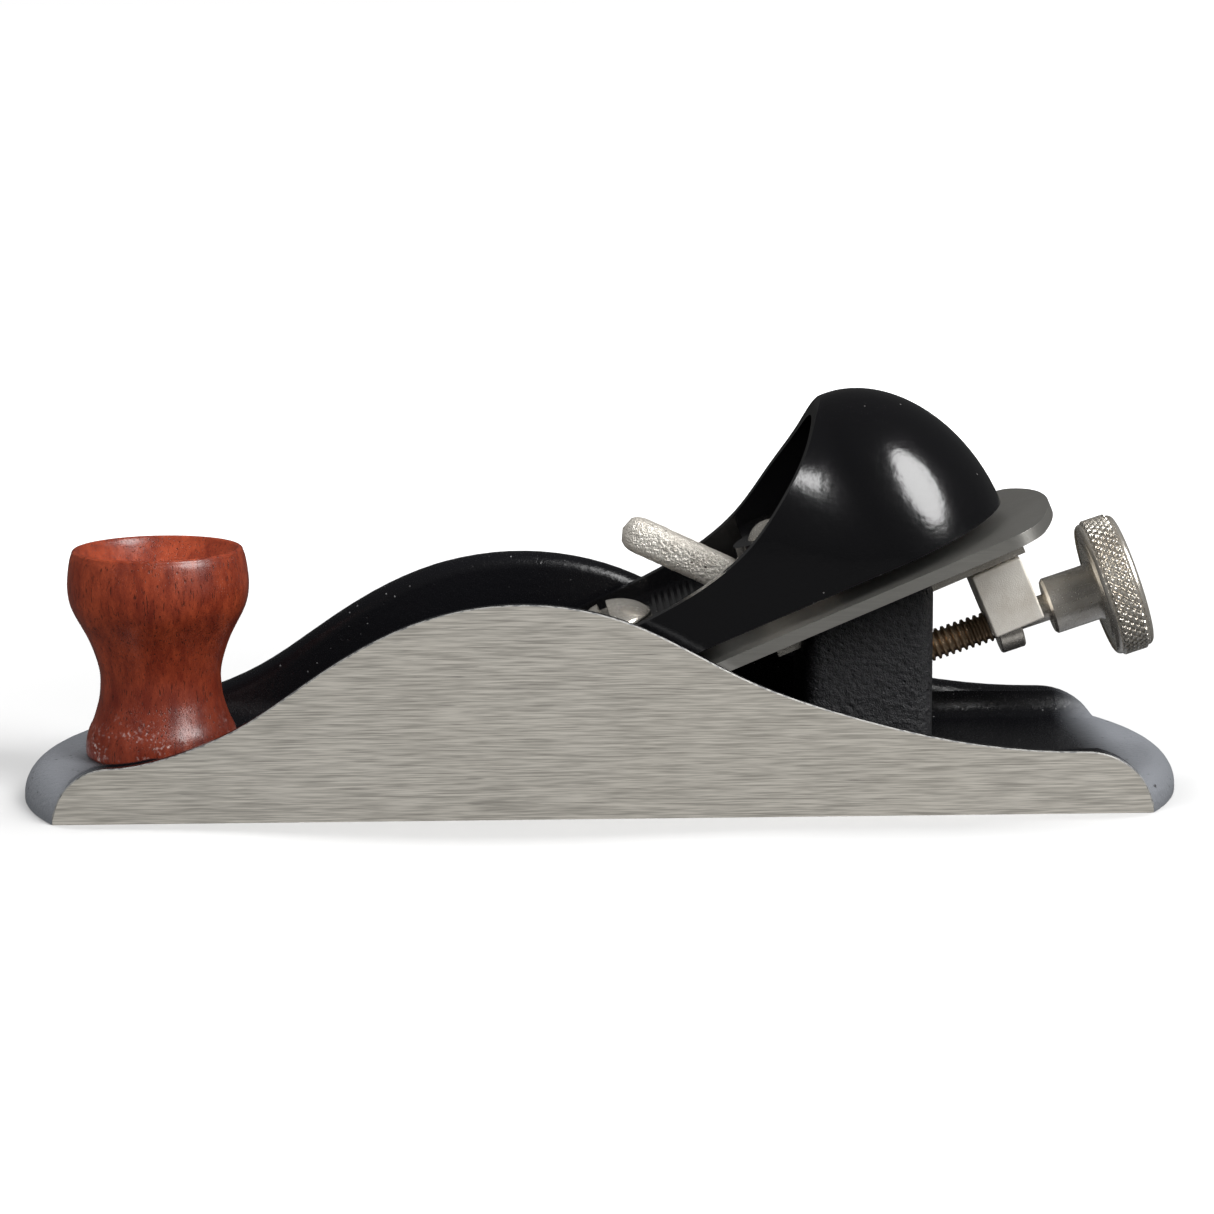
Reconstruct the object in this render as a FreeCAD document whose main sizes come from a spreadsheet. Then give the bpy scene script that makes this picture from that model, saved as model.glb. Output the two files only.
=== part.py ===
"""Low-angle block plane, 7 inch: body casting, turned front knob, iron, hooded lever cap
with its cam lever, and the screw adjuster.

World frame: X from toe to heel, Y across, Z up, origin at the middle of the sole.
Bed frame: x up the bed from where it meets the sole, z square to the bed.
Screw frame: x along the adjuster screw, towards its knob.
All lengths are millimetres.
"""

import FreeCAD, Part

import math
import os

import Sketcher

from FreeCAD import Placement, Rotation, Vector

SIZES = [
    # body casting
    ("body_length", 177.8),
    ("body_width", 50.8),
    ("end_bulge", 7.0),
    ("sole_thickness", 5.2),
    ("end_round", 4.6),
    ("cheek_thickness", 3.5),
    ("cheek_edge_round", 2.4),
    ("cheek_peak_height", 32.4),
    ("cheek_peak_x", -12.1),
    ("toe_height", 8.4),
    ("toe_nose_length", 8.6),
    ("heel_height", 9.4),
    ("heel_nose_length", 10.2),
    ("toe_flank_start", 17.0),
    ("toe_flank_height", 9.9),
    ("heel_flank_start", 34.0),
    ("heel_flank_height", 12.1),
    ("corner_round", 4.0),
    # mouth and bed
    ("mouth_x", -31.4),
    ("bed_angle", 22.9),
    ("mouth_opening", 4.0),
    ("mouth_edge", 1.5),
    ("throat_lean", 3.0),
    ("ramp_length", 24.0),
    ("rib_length", 48.0),
    ("rib_width", 18.0),
    # post behind the bed
    ("post_front_x", 30.7),
    ("post_length", 19.8),
    ("post_width", 24.0),
    ("post_corner_round", 3.0),
    ("post_top_round", 2.6),
    # front knob
    ("knob_x", -67.9),
    ("knob_height", 32.2),
    ("knob_base_radius", 11.7),
    ("knob_waist_radius", 9.25),
    ("knob_waist_height", 12.2),
    ("knob_bulge_radius", 13.9),
    ("knob_bulge_height", 26.4),
    ("knob_rim_radius", 12.7),
    ("knob_rim_width", 0.7),
    ("knob_dish_depth", 7.2),
    ("knob_screw_radius", 2.4),
    ("knob_screw_head_radius", 4.4),
    ("knob_screw_head_height", 2.6),
    # iron
    ("iron_length", 108.9),
    ("iron_side_gap", 1.25),
    ("iron_thickness", 1.9),
    ("iron_setback", 0.6),
    ("iron_bevel", 25.0),
    ("iron_tail_bulge", 5.2),
    ("iron_tail_corner", 6.0),
    ("iron_slot_width", 8.2),
    ("iron_slot_start", 30.0),
    ("iron_slot_end", 56.0),
    ("iron_keyhole_radius", 7.2),
    ("groove_count", 11),
    ("groove_pitch", 2.4),
    ("groove_width", 1.1),
    ("groove_depth", 0.7),
    ("groove_length", 12.0),
    ("groove_start", 68.0),
    # lever cap
    ("cap_front", 8.0),
    ("cap_side_gap", 2.7),
    ("cap_lift", 2.3),
    ("cap_hood_height", 25.7),
    ("cap_hood_start", 83.6),
    ("cap_wall", 2.2),
    ("cap_floor_top", 9.4),
    ("cap_floor_thickness", 3.4),
    ("cap_floor_start", 23.0),
    ("cap_floor_end", 55.5),
    ("cap_foot_length", 5.0),
    ("shelf_front", 64.0),
    ("shelf_top", 13.4),
    ("shelf_thickness", 1.6),
    ("boss_radius", 5.8),
    ("keyhole_radius", 7.1),
    ("keyhole_shift", 9.0),
    ("cap_rib_count", 7),
    ("cap_rib_pitch", 1.05),
    ("cap_rib_size", 0.5),
    ("cap_rib_length", 24.0),
    # lever cap screw
    ("cap_screw_x", 40.0),
    ("cap_screw_radius", 3.0),
    ("cap_screw_depth", 11.0),
    ("cap_screw_head_radius", 6.6),
    ("cap_screw_head_edge", 0.5),
    ("cap_screw_dome", 3.7),
    ("driver_slot_width", 1.5),
    ("driver_slot_depth", 2.2),
    # cam lever and its rivet
    ("cam_x", 68.0),
    ("cam_radius", 6.5),
    ("lever_radius", 2.95),
    ("lever_foot_x", 62.6),
    ("lever_foot_height", 6.6),
    ("lever_tip_x", 49.7),
    ("lever_tip_height", 20.9),
    ("rivet_radius", 2.0),
    ("rivet_head_radius", 3.3),
    ("rivet_head_height", 1.5),
    # adjuster
    ("screw_angle", 18.34),
    ("screw_height", 3.87),
    ("screw_radius", 2.4),
    ("screw_start", 37.0),
    ("collar_start", 64.2),
    ("collar_length", 3.9),
    ("collar_radius", 4.65),
    ("neck_radius", 2.1),
    ("hub_start", 73.1),
    ("hub_length", 7.8),
    ("hub_radius", 4.45),
    ("wheel_radius", 10.9),
    ("wheel_width", 6.0),
    ("wheel_round", 1.0),
    ("bar_start", 62.0),
    ("bar_end", 103.0),
    ("bar_width", 11.0),
    ("bar_thickness", 4.0),
    ("tooth_groove", 3),
    ("tooth_height", 0.5),
    ("tooth_length", 6.0),
    ("block_start", 93.8),
    ("block_length", 8.1),
    ("block_width", 12.0),
    ("block_height", 10.2),
    ("block_gap", 0.3),
    ("stud_radius", 2.0),
    # clearances
    ("running_play", 0.05),
    ("slide_play", 0.1),
    ("loose_play", 0.3),
    ("side_play", 0.6),
]


class Size:
    """A length that knows its value and the spreadsheet expression it comes from."""

    def __init__(self, value, text):
        self.value = float(value)
        self.text = text

    @staticmethod
    def of(other):
        """Take a plain number or a Size."""
        return other if isinstance(other, Size) else Size(other, repr(float(other)))

    def __add__(self, other):
        other = Size.of(other)
        return Size(self.value + other.value, f"({self.text} + {other.text})")

    def __sub__(self, other):
        other = Size.of(other)
        return Size(self.value - other.value, f"({self.text} - {other.text})")

    def __mul__(self, other):
        other = Size.of(other)
        return Size(self.value * other.value, f"({self.text} * {other.text})")

    def __truediv__(self, other):
        other = Size.of(other)
        return Size(self.value / other.value, f"({self.text} / {other.text})")

    def __neg__(self):
        return Size(-self.value, f"(-{self.text})")

    def __radd__(self, other):
        return Size.of(other) + self

    def __rsub__(self, other):
        return Size.of(other) - self

    def __float__(self):
        return self.value


class Sheet:
    """The spreadsheet of driving sizes; each one is read back as an attribute."""

    def __init__(self, doc, rows):
        self.cells = doc.addObject("Spreadsheet::Sheet", "sizes")
        for row, (alias, value) in enumerate(rows, start=1):
            self.cells.set(f"A{row}", alias)
            self.cells.set(f"B{row}", str(value))
            self.cells.setAlias(f"B{row}", alias)
        doc.recompute()

    def __getattr__(self, alias):
        return Size(getattr(self.cells, alias), f"sizes.{alias}")


doc = FreeCAD.newDocument("block_plane")
size = Sheet(doc, SIZES)

ACROSS = Vector(0, 1, 0)
BED = Placement(Vector(size.mouth_x.value, 0, 0), Rotation(ACROSS, -size.bed_angle.value))
SCREW = Placement(Vector(0, 0, size.screw_height.value), Rotation(ACROSS, -size.screw_angle.value))
WORLD = Placement()
ALONG_X = Rotation(ACROSS, 90)
ALONG_Z = Rotation()

half_width = size.body_width / 2
side_end = size.body_length / 2 - size.end_bulge
cheek_inside = half_width - size.cheek_thickness
iron_half = cheek_inside - size.iron_side_gap
cap_half = cheek_inside - size.cap_side_gap


# ---------------------------------------------------------------- building blocks


def bind(obj, prop, length):
    """Tie one property of an object to the spreadsheet."""
    obj.setExpression(prop, Size.of(length).text)


def place(obj, x, y, z, turn=None, frame=WORLD):
    """Put an object at x, y, z of a frame, turned by a rotation of its own."""
    turn = turn or ALONG_Z
    if frame is WORLD:
        obj.Placement = Placement(Vector(0, 0, 0), turn)
        bind(obj, "Placement.Base.x", x)
        bind(obj, "Placement.Base.y", y)
        bind(obj, "Placement.Base.z", z)
    else:
        obj.Placement = frame.multiply(Placement(Vector(float(x), float(y), float(z)), turn))


def box(name, x, y, z, length, width, height, frame=WORLD):
    """A box whose lowest corner is at x, y, z."""
    obj = doc.addObject("Part::Box", name)
    bind(obj, "Length", length)
    bind(obj, "Width", width)
    bind(obj, "Height", height)
    place(obj, x, y, z, frame=frame)
    return obj


def cylinder(name, x, y, z, radius, height, turn=None, frame=WORLD):
    """A cylinder that starts at x, y, z and runs along Z, or along X with ALONG_X."""
    obj = doc.addObject("Part::Cylinder", name)
    bind(obj, "Radius", radius)
    bind(obj, "Height", height)
    place(obj, x, y, z, turn, frame)
    return obj


def sphere(name, x, y, z, radius, frame=WORLD):
    """A ball centred at x, y, z."""
    obj = doc.addObject("Part::Sphere", name)
    bind(obj, "Radius", radius)
    place(obj, x, y, z, frame=frame)
    return obj


def fuse(name, *shapes):
    """One solid from several."""
    obj = doc.addObject("Part::MultiFuse", name)
    obj.Shapes = list(shapes)
    obj.Refine = True
    return obj


def common(name, *shapes):
    """What several solids share."""
    obj = doc.addObject("Part::MultiCommon", name)
    obj.Shapes = list(shapes)
    return obj


def cut(name, base, *tools):
    """A solid with one or more others taken out of it."""
    obj = doc.addObject("Part::Cut", name)
    obj.Base = base
    obj.Tool = tools[0] if len(tools) == 1 else fuse(name + "_tools", *tools)
    return obj


def feature(name, shape):
    """A solid that no primitive or sketch describes."""
    obj = doc.addObject("Part::Feature", name)
    obj.Shape = shape
    return obj


def sketch_on_xz(name, corners):
    """A closed sketch of straight lines in the XZ plane, each corner tied to the sheet."""
    sketch = doc.addObject("Sketcher::SketchObject", name)
    sketch.Placement = Placement(Vector(0, 0, 0), Rotation(Vector(1, 0, 0), 90))
    points = [Vector(float(x), float(z), 0) for x, z in corners]
    count = len(points)
    for index, start in enumerate(points):
        sketch.addGeometry(Part.LineSegment(start, points[(index + 1) % count]), False)
    for index in range(count):
        sketch.addConstraint(Sketcher.Constraint("Coincident", index, 2, (index + 1) % count, 1))
    for index, corner in enumerate(corners):
        for kind, axis, length in (("DistanceX", -2, corner[0]), ("DistanceY", -1, corner[1])):
            length = Size.of(length)
            if abs(length.value) < 1e-9:
                sketch.addConstraint(Sketcher.Constraint("PointOnObject", index, 1, axis))
                continue
            if length.value > 0:
                rule = Sketcher.Constraint(kind, -1, 1, index, 1, length.value)
            else:
                rule = Sketcher.Constraint(kind, index, 1, -1, 1, -length.value)
            number = sketch.addConstraint(rule)
            signed = length if length.value > 0 else -length
            sketch.setExpression(f"Constraints[{number}]", signed.text)
    return sketch


def slab(name, corners, width, frame=WORLD):
    """A flat-sided solid: an outline in XZ, as wide as stated, centred on Y = 0."""
    sketch = sketch_on_xz(name + "_outline", corners)
    obj = doc.addObject("Part::Extrusion", name)
    obj.Base = sketch
    obj.DirMode = "Custom"
    obj.Dir = Vector(0, 1, 0)
    obj.Solid = True
    obj.Symmetric = True
    bind(obj, "LengthFwd", width)
    if frame is not WORLD:
        obj.Placement = frame
    return obj


def rounded(name, base, radius, wanted):
    """Round the edges of a solid that a test picks out."""
    doc.recompute()
    obj = doc.addObject("Part::Fillet", name)
    obj.Base = base
    picked = [i for i, edge in enumerate(base.Shape.Edges, start=1) if wanted(edge)]
    if not picked:
        raise RuntimeError(f"{name}: no edge to round")
    obj.Edges = [(number, float(radius), float(radius)) for number in picked]
    return obj


def is_upright(edge):
    """True for a straight edge along Z."""
    box_ = edge.BoundBox
    return box_.XLength < 1e-6 and box_.YLength < 1e-6


def level(edge, height):
    """True for an edge that lies flat at one height."""
    box_ = edge.BoundBox
    return abs(box_.ZMin - float(height)) < 1e-6 and abs(box_.ZMax - float(height)) < 1e-6


def spline(points, start=None, end=None):
    """A smooth curve through points at even speed, with its end directions where they matter."""
    travel = [0.0]
    for before, after in zip(points, points[1:]):
        travel.append(travel[-1] + before.distanceToPoint(after))
    curve = Part.BSplineCurve()
    if start is None:
        curve.interpolate(Points=points, Parameters=travel)
    else:
        ends = {"InitialTangent": start.normalize(), "FinalTangent": end.normalize(), "Scale": False}
        curve.interpolate(Points=points, Parameters=travel, **ends)
    return curve.toShape()


# ---------------------------------------------------------------- body casting


def nose(start, run, high):
    """A quarter of an ellipse from its top at x = start down to the sole, run further on."""
    points = []
    steps = 8
    for number in range(steps + 1):
        angle = 0.5 * math.pi * number / steps
        points.append(Vector(start + run * math.sin(angle), 0, high * math.cos(angle)))
    return spline(points, Vector(math.copysign(1, run), 0, 0), Vector(0, 0, -1))


def cheek_outline():
    """Outline of a cheek: toe end, long hump with its peak over the mouth, heel end."""
    low_front = (-side_end.value + size.toe_flank_start.value, size.toe_flank_height.value)
    low_rear = (side_end.value - size.heel_flank_start.value, size.heel_flank_height.value)
    peak = (size.cheek_peak_x.value, size.cheek_peak_height.value)

    def flank(low, along, up):
        """A point part of the way from a low point to the peak."""
        return (low[0] + along * (peak[0] - low[0]), low[1] + up * (peak[1] - low[1]))

    toe, heel = -side_end.value, side_end.value
    toe_high, heel_high = size.toe_height.value, size.heel_height.value
    toe_run, heel_run = size.toe_nose_length.value, size.heel_nose_length.value
    points = [(toe + toe_run, toe_high), low_front]
    points += [flank(low_front, 0.20, 0.19), flank(low_front, 0.40, 0.50), flank(low_front, 0.70, 0.88)]
    points += [peak, flank(low_rear, 0.73, 0.85)]
    points += [flank(low_rear, 0.46, 0.445), flank(low_rear, 0.18, 0.14), low_rear, (heel - heel_run, heel_high)]
    ahead = Vector(1, 0, 0)
    crest = spline([Vector(x, 0, z) for x, z in points], ahead, ahead)
    edges = [nose(toe + toe_run, -toe_run, toe_high), crest, nose(heel - heel_run, heel_run, heel_high)]
    edges.append(Part.LineSegment(Vector(heel, 0, 0), Vector(toe, 0, 0)).toShape())
    return Part.Face(Part.Wire(Part.sortEdges(edges)[0]))


def cheek(side):
    """One cheek wall, its painted inner top edge rounded."""
    thick = size.cheek_thickness.value
    wall = cheek_outline().extrude(Vector(0, thick, 0))
    crest = [e for e in wall.Edges if e.BoundBox.ZMax > 1 and e.BoundBox.YMin > thick - 1e-4]
    wall = wall.makeFillet(size.cheek_edge_round.value, crest)
    wall.translate(Vector(0, -half_width.value, 0))
    return wall if side < 0 else wall.mirror(Vector(0, 0, 0), Vector(0, 1, 0))


def corner_fill(side):
    """The hollow cast corner between a cheek and the sole plate, ending under the cheek's outline."""
    top, inside, r = size.sole_thickness.value, cheek_inside.value, size.corner_round.value
    overlap = 0.5
    bend = Part.Arc(
        Vector(0, -inside + r, top),
        Vector(0, -inside + r - r * math.sin(math.pi / 4), top + r - r * math.cos(math.pi / 4)),
        Vector(0, -inside, top + r),
    ).toShape()
    rest = Part.makePolygon(
        [
            Vector(0, -inside, top + r),
            Vector(0, -inside - overlap, top + r),
            Vector(0, -inside - overlap, top - overlap),
            Vector(0, -inside + r, top - overlap),
            Vector(0, -inside + r, top),
        ]
    )
    length = 2 * side_end.value
    strip = Part.Face(Part.Wire([bend] + rest.Edges)).extrude(Vector(length, 0, 0))
    strip.translate(Vector(-side_end.value, 0, 0))
    under = cheek_outline().extrude(Vector(0, half_width.value, 0))
    under.translate(Vector(0, -half_width.value, 0))
    strip = strip.common(under)
    return strip if side < 0 else strip.mirror(Vector(0, 0, 0), Vector(0, 1, 0))


def sole_plate():
    """The sole: straight sides, bowed toe and heel, ends rounded over at the top."""
    end, side, half = size.body_length.value / 2, side_end.value, half_width.value
    outline = [
        Part.LineSegment(Vector(-side, -half, 0), Vector(side, -half, 0)).toShape(),
        Part.Arc(Vector(side, -half, 0), Vector(end, 0, 0), Vector(side, half, 0)).toShape(),
        Part.LineSegment(Vector(side, half, 0), Vector(-side, half, 0)).toShape(),
        Part.Arc(Vector(-side, half, 0), Vector(-end, 0, 0), Vector(-side, -half, 0)).toShape(),
    ]
    plan = feature("sole_plan", Part.Face(Part.Wire(outline)))
    plate = doc.addObject("Part::Extrusion", "sole_blank")
    plate.Base = plan
    plate.DirMode = "Custom"
    plate.Dir = Vector(0, 0, 1)
    plate.Solid = True
    bind(plate, "LengthFwd", size.sole_thickness)

    def bowed_top(edge):
        return level(edge, size.sole_thickness) and edge.Curve.TypeId == "Part::GeomCircle"

    return rounded("sole_plate", plate, size.end_round, bowed_top)


def bed_height(x):
    """Height of the bed above the sole at a world x, as a Size."""
    slope = math.tan(math.radians(size.bed_angle.value))
    return (x - size.mouth_x) * slope


def bed_x(along):
    """World x of a point up the bed."""
    return size.mouth_x + along * math.cos(math.radians(size.bed_angle.value))


def plane_body():
    """The casting: sole, cheeks, bed ramp with its screw rib, and the post under the iron."""
    cheeks = [feature(f"cheek_{n}", cheek(s)) for n, s in (("left", -1), ("right", 1))]
    corners = [feature(f"corner_{n}", corner_fill(s)) for n, s in (("left", -1), ("right", 1))]

    low = size.sole_thickness / 2
    inside_width = cheek_inside * 2
    toe_of_ramp = size.mouth_x + 0.5
    ramp_edge = 0.05
    ramp_end = bed_x(size.ramp_length)
    ramp = slab(
        "ramp",
        [
            (toe_of_ramp, ramp_edge),
            (toe_of_ramp, bed_height(toe_of_ramp)),
            (ramp_end, bed_height(ramp_end)),
            (ramp_end + 3.0, low),
            (ramp_end + 3.0, ramp_edge),
        ],
        inside_width + 1.0,
    )
    rib_start = bed_x(size.ramp_length / 2)
    rib_end = bed_x(size.rib_length)
    rib = slab(
        "screw_rib",
        [
            (rib_start, low),
            (rib_start, bed_height(rib_start)),
            (rib_end, bed_height(rib_end)),
            (rib_end + 1.0, low),
        ],
        size.rib_width,
    )

    post_end = size.post_front_x + size.post_length
    blank = slab(
        "post_blank",
        [
            (size.post_front_x, low),
            (size.post_front_x, bed_height(size.post_front_x)),
            (post_end, bed_height(post_end)),
            (post_end, low),
        ],
        size.post_width,
    )
    upright = rounded("post_upright", blank, size.post_corner_round, is_upright)

    def crown(edge):
        return edge.BoundBox.ZMin > size.sole_thickness.value + size.post_corner_round.value

    def top_edge(edge):
        return crown(edge) and not is_upright(edge)

    post = rounded("post", upright, size.post_top_round, top_edge)

    front = size.mouth_x - size.mouth_opening
    above = size.sole_thickness + size.corner_round + 1.0
    bed_top = size.mouth_x + above / math.tan(math.radians(size.bed_angle.value))
    below = -1.0
    mouth = slab(
        "mouth",
        [
            (front, below),
            (front, size.mouth_edge),
            (front - size.throat_lean, above),
            (bed_top, above),
            (size.mouth_x, 0),
            (size.mouth_x, below),
        ],
        inside_width,
    )

    bar_play = size.slide_play
    groove = box(
        "bar_groove",
        size.bar_start,
        -(size.bar_width / 2) - bar_play,
        -size.bar_thickness - bar_play - size.loose_play,
        size.bar_end - size.bar_start,
        size.bar_width + bar_play * 2,
        size.bar_thickness + bar_play + size.loose_play + 5.0,
        BED,
    )
    tapped = cylinder(
        "adjuster_hole",
        size.screw_start - 2.0,
        0,
        0,
        size.screw_radius + size.running_play,
        size.collar_start - size.screw_start,
        ALONG_X,
        SCREW,
    )
    cap_hole = cylinder(
        "cap_screw_hole",
        size.cap_screw_x,
        0,
        -size.cap_screw_depth - 1.0,
        size.cap_screw_radius + size.running_play,
        size.cap_screw_depth + 5.0,
        None,
        BED,
    )
    knob_hole = cylinder(
        "knob_screw_hole", size.knob_x, 0, 0.8, size.knob_screw_radius + size.running_play, size.sole_thickness
    )
    casting = fuse("casting", sole_plate(), ramp, rib, post, *cheeks, *corners)
    return cut("plane_body", casting, mouth, groove, tapped, cap_hole, knob_hole)


# ---------------------------------------------------------------- front knob


def front_knob():
    """Turned wooden knob: footed base, narrow waist, full head with a thumb dish."""
    base, waist = size.knob_base_radius.value, size.knob_waist_radius.value
    bulge, rim = size.knob_bulge_radius.value, size.knob_rim_radius.value
    high, waist_z, bulge_z = size.knob_height.value, size.knob_waist_height.value, size.knob_bulge_height.value
    swell = bulge - waist
    profile = [
        (base, 0.0),
        (base + 0.15, 1.8),
        (waist + 0.6 * (base - waist), 0.4 * waist_z),
        (waist + 0.18 * (base - waist), 0.72 * waist_z),
        (waist, waist_z),
        (waist + 0.18 * swell, waist_z + 0.29 * (bulge_z - waist_z)),
        (waist + 0.58 * swell, waist_z + 0.58 * (bulge_z - waist_z)),
        (bulge, bulge_z),
        (bulge - 0.35 * (bulge - rim), bulge_z + 0.72 * (high - bulge_z)),
        (rim, high),
    ]
    side = spline([Vector(r, 0, z) for r, z in profile], Vector(0, 0, 1), Vector(-0.5, 0, 1))
    lip, depth = rim - size.knob_rim_width.value, size.knob_dish_depth.value
    ball = (lip**2 + depth**2) / (2 * depth)
    mid = 0.5 * math.asin(lip / ball)
    centre = high - depth + ball
    dish = Part.Arc(
        Vector(lip, 0, high),
        Vector(ball * math.sin(mid), 0, centre - ball * math.cos(mid)),
        Vector(0, 0, high - depth),
    ).toShape()
    rest = Part.makePolygon([Vector(0, 0, high - depth), Vector(0, 0, 0), Vector(base, 0, 0)])
    crown = Part.LineSegment(Vector(rim, 0, high), Vector(lip, 0, high)).toShape()
    face = Part.Face(Part.Wire([side, crown, dish] + rest.Edges))
    blank = feature("knob_blank", face.revolve(Vector(0, 0, 0), Vector(0, 0, 1), 360))
    blank.Placement = Placement(Vector(size.knob_x.value, 0, size.sole_thickness.value), ALONG_Z)

    head_seat = size.sole_thickness + size.knob_height - size.knob_dish_depth - size.knob_screw_head_height
    bore = cylinder(
        "knob_bore",
        size.knob_x,
        0,
        size.sole_thickness - 1.0,
        size.knob_screw_radius + size.slide_play,
        size.knob_height,
    )
    recess = cylinder(
        "knob_recess",
        size.knob_x,
        0,
        head_seat,
        size.knob_screw_head_radius + size.loose_play,
        size.knob_height,
    )
    return cut("front_knob", blank, bore, recess)


def knob_screw():
    """Slotted machine screw down the middle of the knob into the sole."""
    head_seat = size.sole_thickness + size.knob_height - size.knob_dish_depth - size.knob_screw_head_height
    shank = cylinder("knob_shank", size.knob_x, 0, 1.0, size.knob_screw_radius, head_seat)
    head = cylinder(
        "knob_head", size.knob_x, 0, head_seat, size.knob_screw_head_radius, size.knob_screw_head_height
    )
    top = head_seat + size.knob_screw_head_height
    edge = rounded("knob_head_round", head, 1.2, lambda e: level(e, top) and e.BoundBox.XLength > 1)
    slot = box(
        "knob_slot",
        size.knob_x - size.driver_slot_width / 2,
        -size.knob_screw_head_radius - 1.0,
        top - 1.3,
        size.driver_slot_width,
        size.knob_screw_head_radius * 2 + 2.0,
        5.0,
    )
    return cut("knob_screw", fuse("knob_screw_blank", shank, edge), slot)


# ---------------------------------------------------------------- iron


def plane_iron():
    """The blade: bevelled front, bowed tail, keyhole slot and adjusting grooves underneath."""
    start, half = size.iron_setback.value, iron_half.value
    tail = start + size.iron_length.value
    shoulder = tail - size.iron_tail_bulge.value
    outline = [
        Part.LineSegment(Vector(start, half, 0), Vector(start, -half, 0)).toShape(),
        Part.LineSegment(Vector(start, -half, 0), Vector(shoulder, -half, 0)).toShape(),
        Part.Arc(Vector(shoulder, -half, 0), Vector(tail, 0, 0), Vector(shoulder, half, 0)).toShape(),
        Part.LineSegment(Vector(shoulder, half, 0), Vector(start, half, 0)).toShape(),
    ]
    plan = feature("iron_plan", Part.Face(Part.Wire(outline)))
    blank = doc.addObject("Part::Extrusion", "iron_blank")
    blank.Base = plan
    blank.DirMode = "Custom"
    blank.Dir = Vector(0, 0, 1)
    blank.Solid = True
    bind(blank, "LengthFwd", size.iron_thickness)

    def tail_corner(edge):
        return is_upright(edge) and edge.BoundBox.XMin > shoulder - 1

    plate = rounded("iron_plate", blank, size.iron_tail_corner, tail_corner)
    rise = size.iron_thickness + 1.0
    edge_height = 0.05
    bevel = slab(
        "bevel",
        [
            (size.iron_setback - 1.0, edge_height),
            (size.iron_setback, edge_height),
            (size.iron_setback + rise / math.tan(math.radians(size.iron_bevel.value)), edge_height + rise),
            (size.iron_setback - 1.0, edge_height + rise),
        ],
        iron_half * 2 + 2.0,
    )
    slot = box(
        "iron_slot",
        size.iron_slot_start,
        -(size.iron_slot_width / 2),
        -1.0,
        size.iron_slot_end - size.iron_slot_start,
        size.iron_slot_width,
        size.iron_thickness + 2.0,
    )
    nose = cylinder(
        "iron_slot_nose", size.iron_slot_start, 0, -1.0, size.iron_slot_width / 2, size.iron_thickness + 2.0
    )
    keyhole = cylinder(
        "iron_keyhole", size.iron_slot_end, 0, -1.0, size.iron_keyhole_radius, size.iron_thickness + 2.0
    )
    grooves = []
    for number in range(int(size.groove_count.value)):
        grooves.append(
            box(
                f"groove_{number}",
                size.groove_start + size.groove_pitch * number - size.groove_width / 2,
                -(size.groove_length / 2),
                -1.0,
                size.groove_width,
                size.groove_length,
                size.groove_depth + 1.0,
            )
        )
    iron = cut("plane_iron", plate, bevel, slot, nose, keyhole, *grooves)
    iron.Placement = BED
    return iron


# ---------------------------------------------------------------- lever cap

HOOD_POWER = 1.95
CROWN_FLAT = 0.02


def arch_point(angle, half, high, power):
    """Where a ray at an angle from the middle of the base meets the arch, as across and up."""
    across, up = math.cos(angle), math.sin(angle)
    reach = ((abs(across) / half) ** power + (abs(up) / high) ** power) ** (-1 / power)
    return reach * across, reach * up


def half_arch(x, half, high, power, base):
    """Curve at x from the foot of an arch up to its crown over the middle."""
    steps = 9
    points = [Vector(x, half, base)]
    for number in range(1, steps):
        across, up = arch_point(0.5 * math.pi * number / steps, half, high, power)
        points.append(Vector(x, across, base + up))
    points.append(Vector(x, 0, base + high))
    return spline(points, Vector(0, 0, 1), Vector(0, -1, 0))


def arch(x, half, high, power, base):
    """Closed cross-section across the cap: two half arches on a straight base."""
    right = half_arch(x, half, high, power, base)
    left = right.mirror(Vector(0, 0, 0), Vector(0, 1, 0))
    floor = Part.LineSegment(Vector(x, -half, base), Vector(x, half, base)).toShape()
    return Part.Wire([right, left, floor])


def cap_form(inset):
    """The cap's full form, hood and all, drawn in by an even inset."""
    base = size.iron_thickness.value + size.cap_lift.value
    half = cap_half.value - inset
    high = size.cap_hood_height.value - inset
    start = size.cap_hood_start.value
    front = size.cap_front.value - 1.0
    stations = [(front, 5.0), (0.5 * (front + start), 5.0), (start - 22.0, 4.6), (start - 15.0, 3.8)]
    stations += [(start - 10.0, 3.0), (start - 5.0, 2.2), (start, HOOD_POWER)]
    barrel = Part.makeLoft([arch(x, half, high, power, base) for x, power in stations], True)

    brow = half_arch(start, half, high, HOOD_POWER, base)
    crown, foot = Vector(start, 0, base + high), Vector(start, half, base)
    closing = Part.makePolygon([crown, Vector(start, 0, base), foot])
    quarter = Part.Face(Part.Wire([brow] + closing.Edges))
    form = barrel.fuse(quarter.revolve(Vector(start, 0, 0), Vector(0, 0, 1), -180))
    top = Part.makeBox(2 * start, 4 * half, high, Vector(0, -2 * half, base + high - CROWN_FLAT))
    return form.cut(top)


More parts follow.
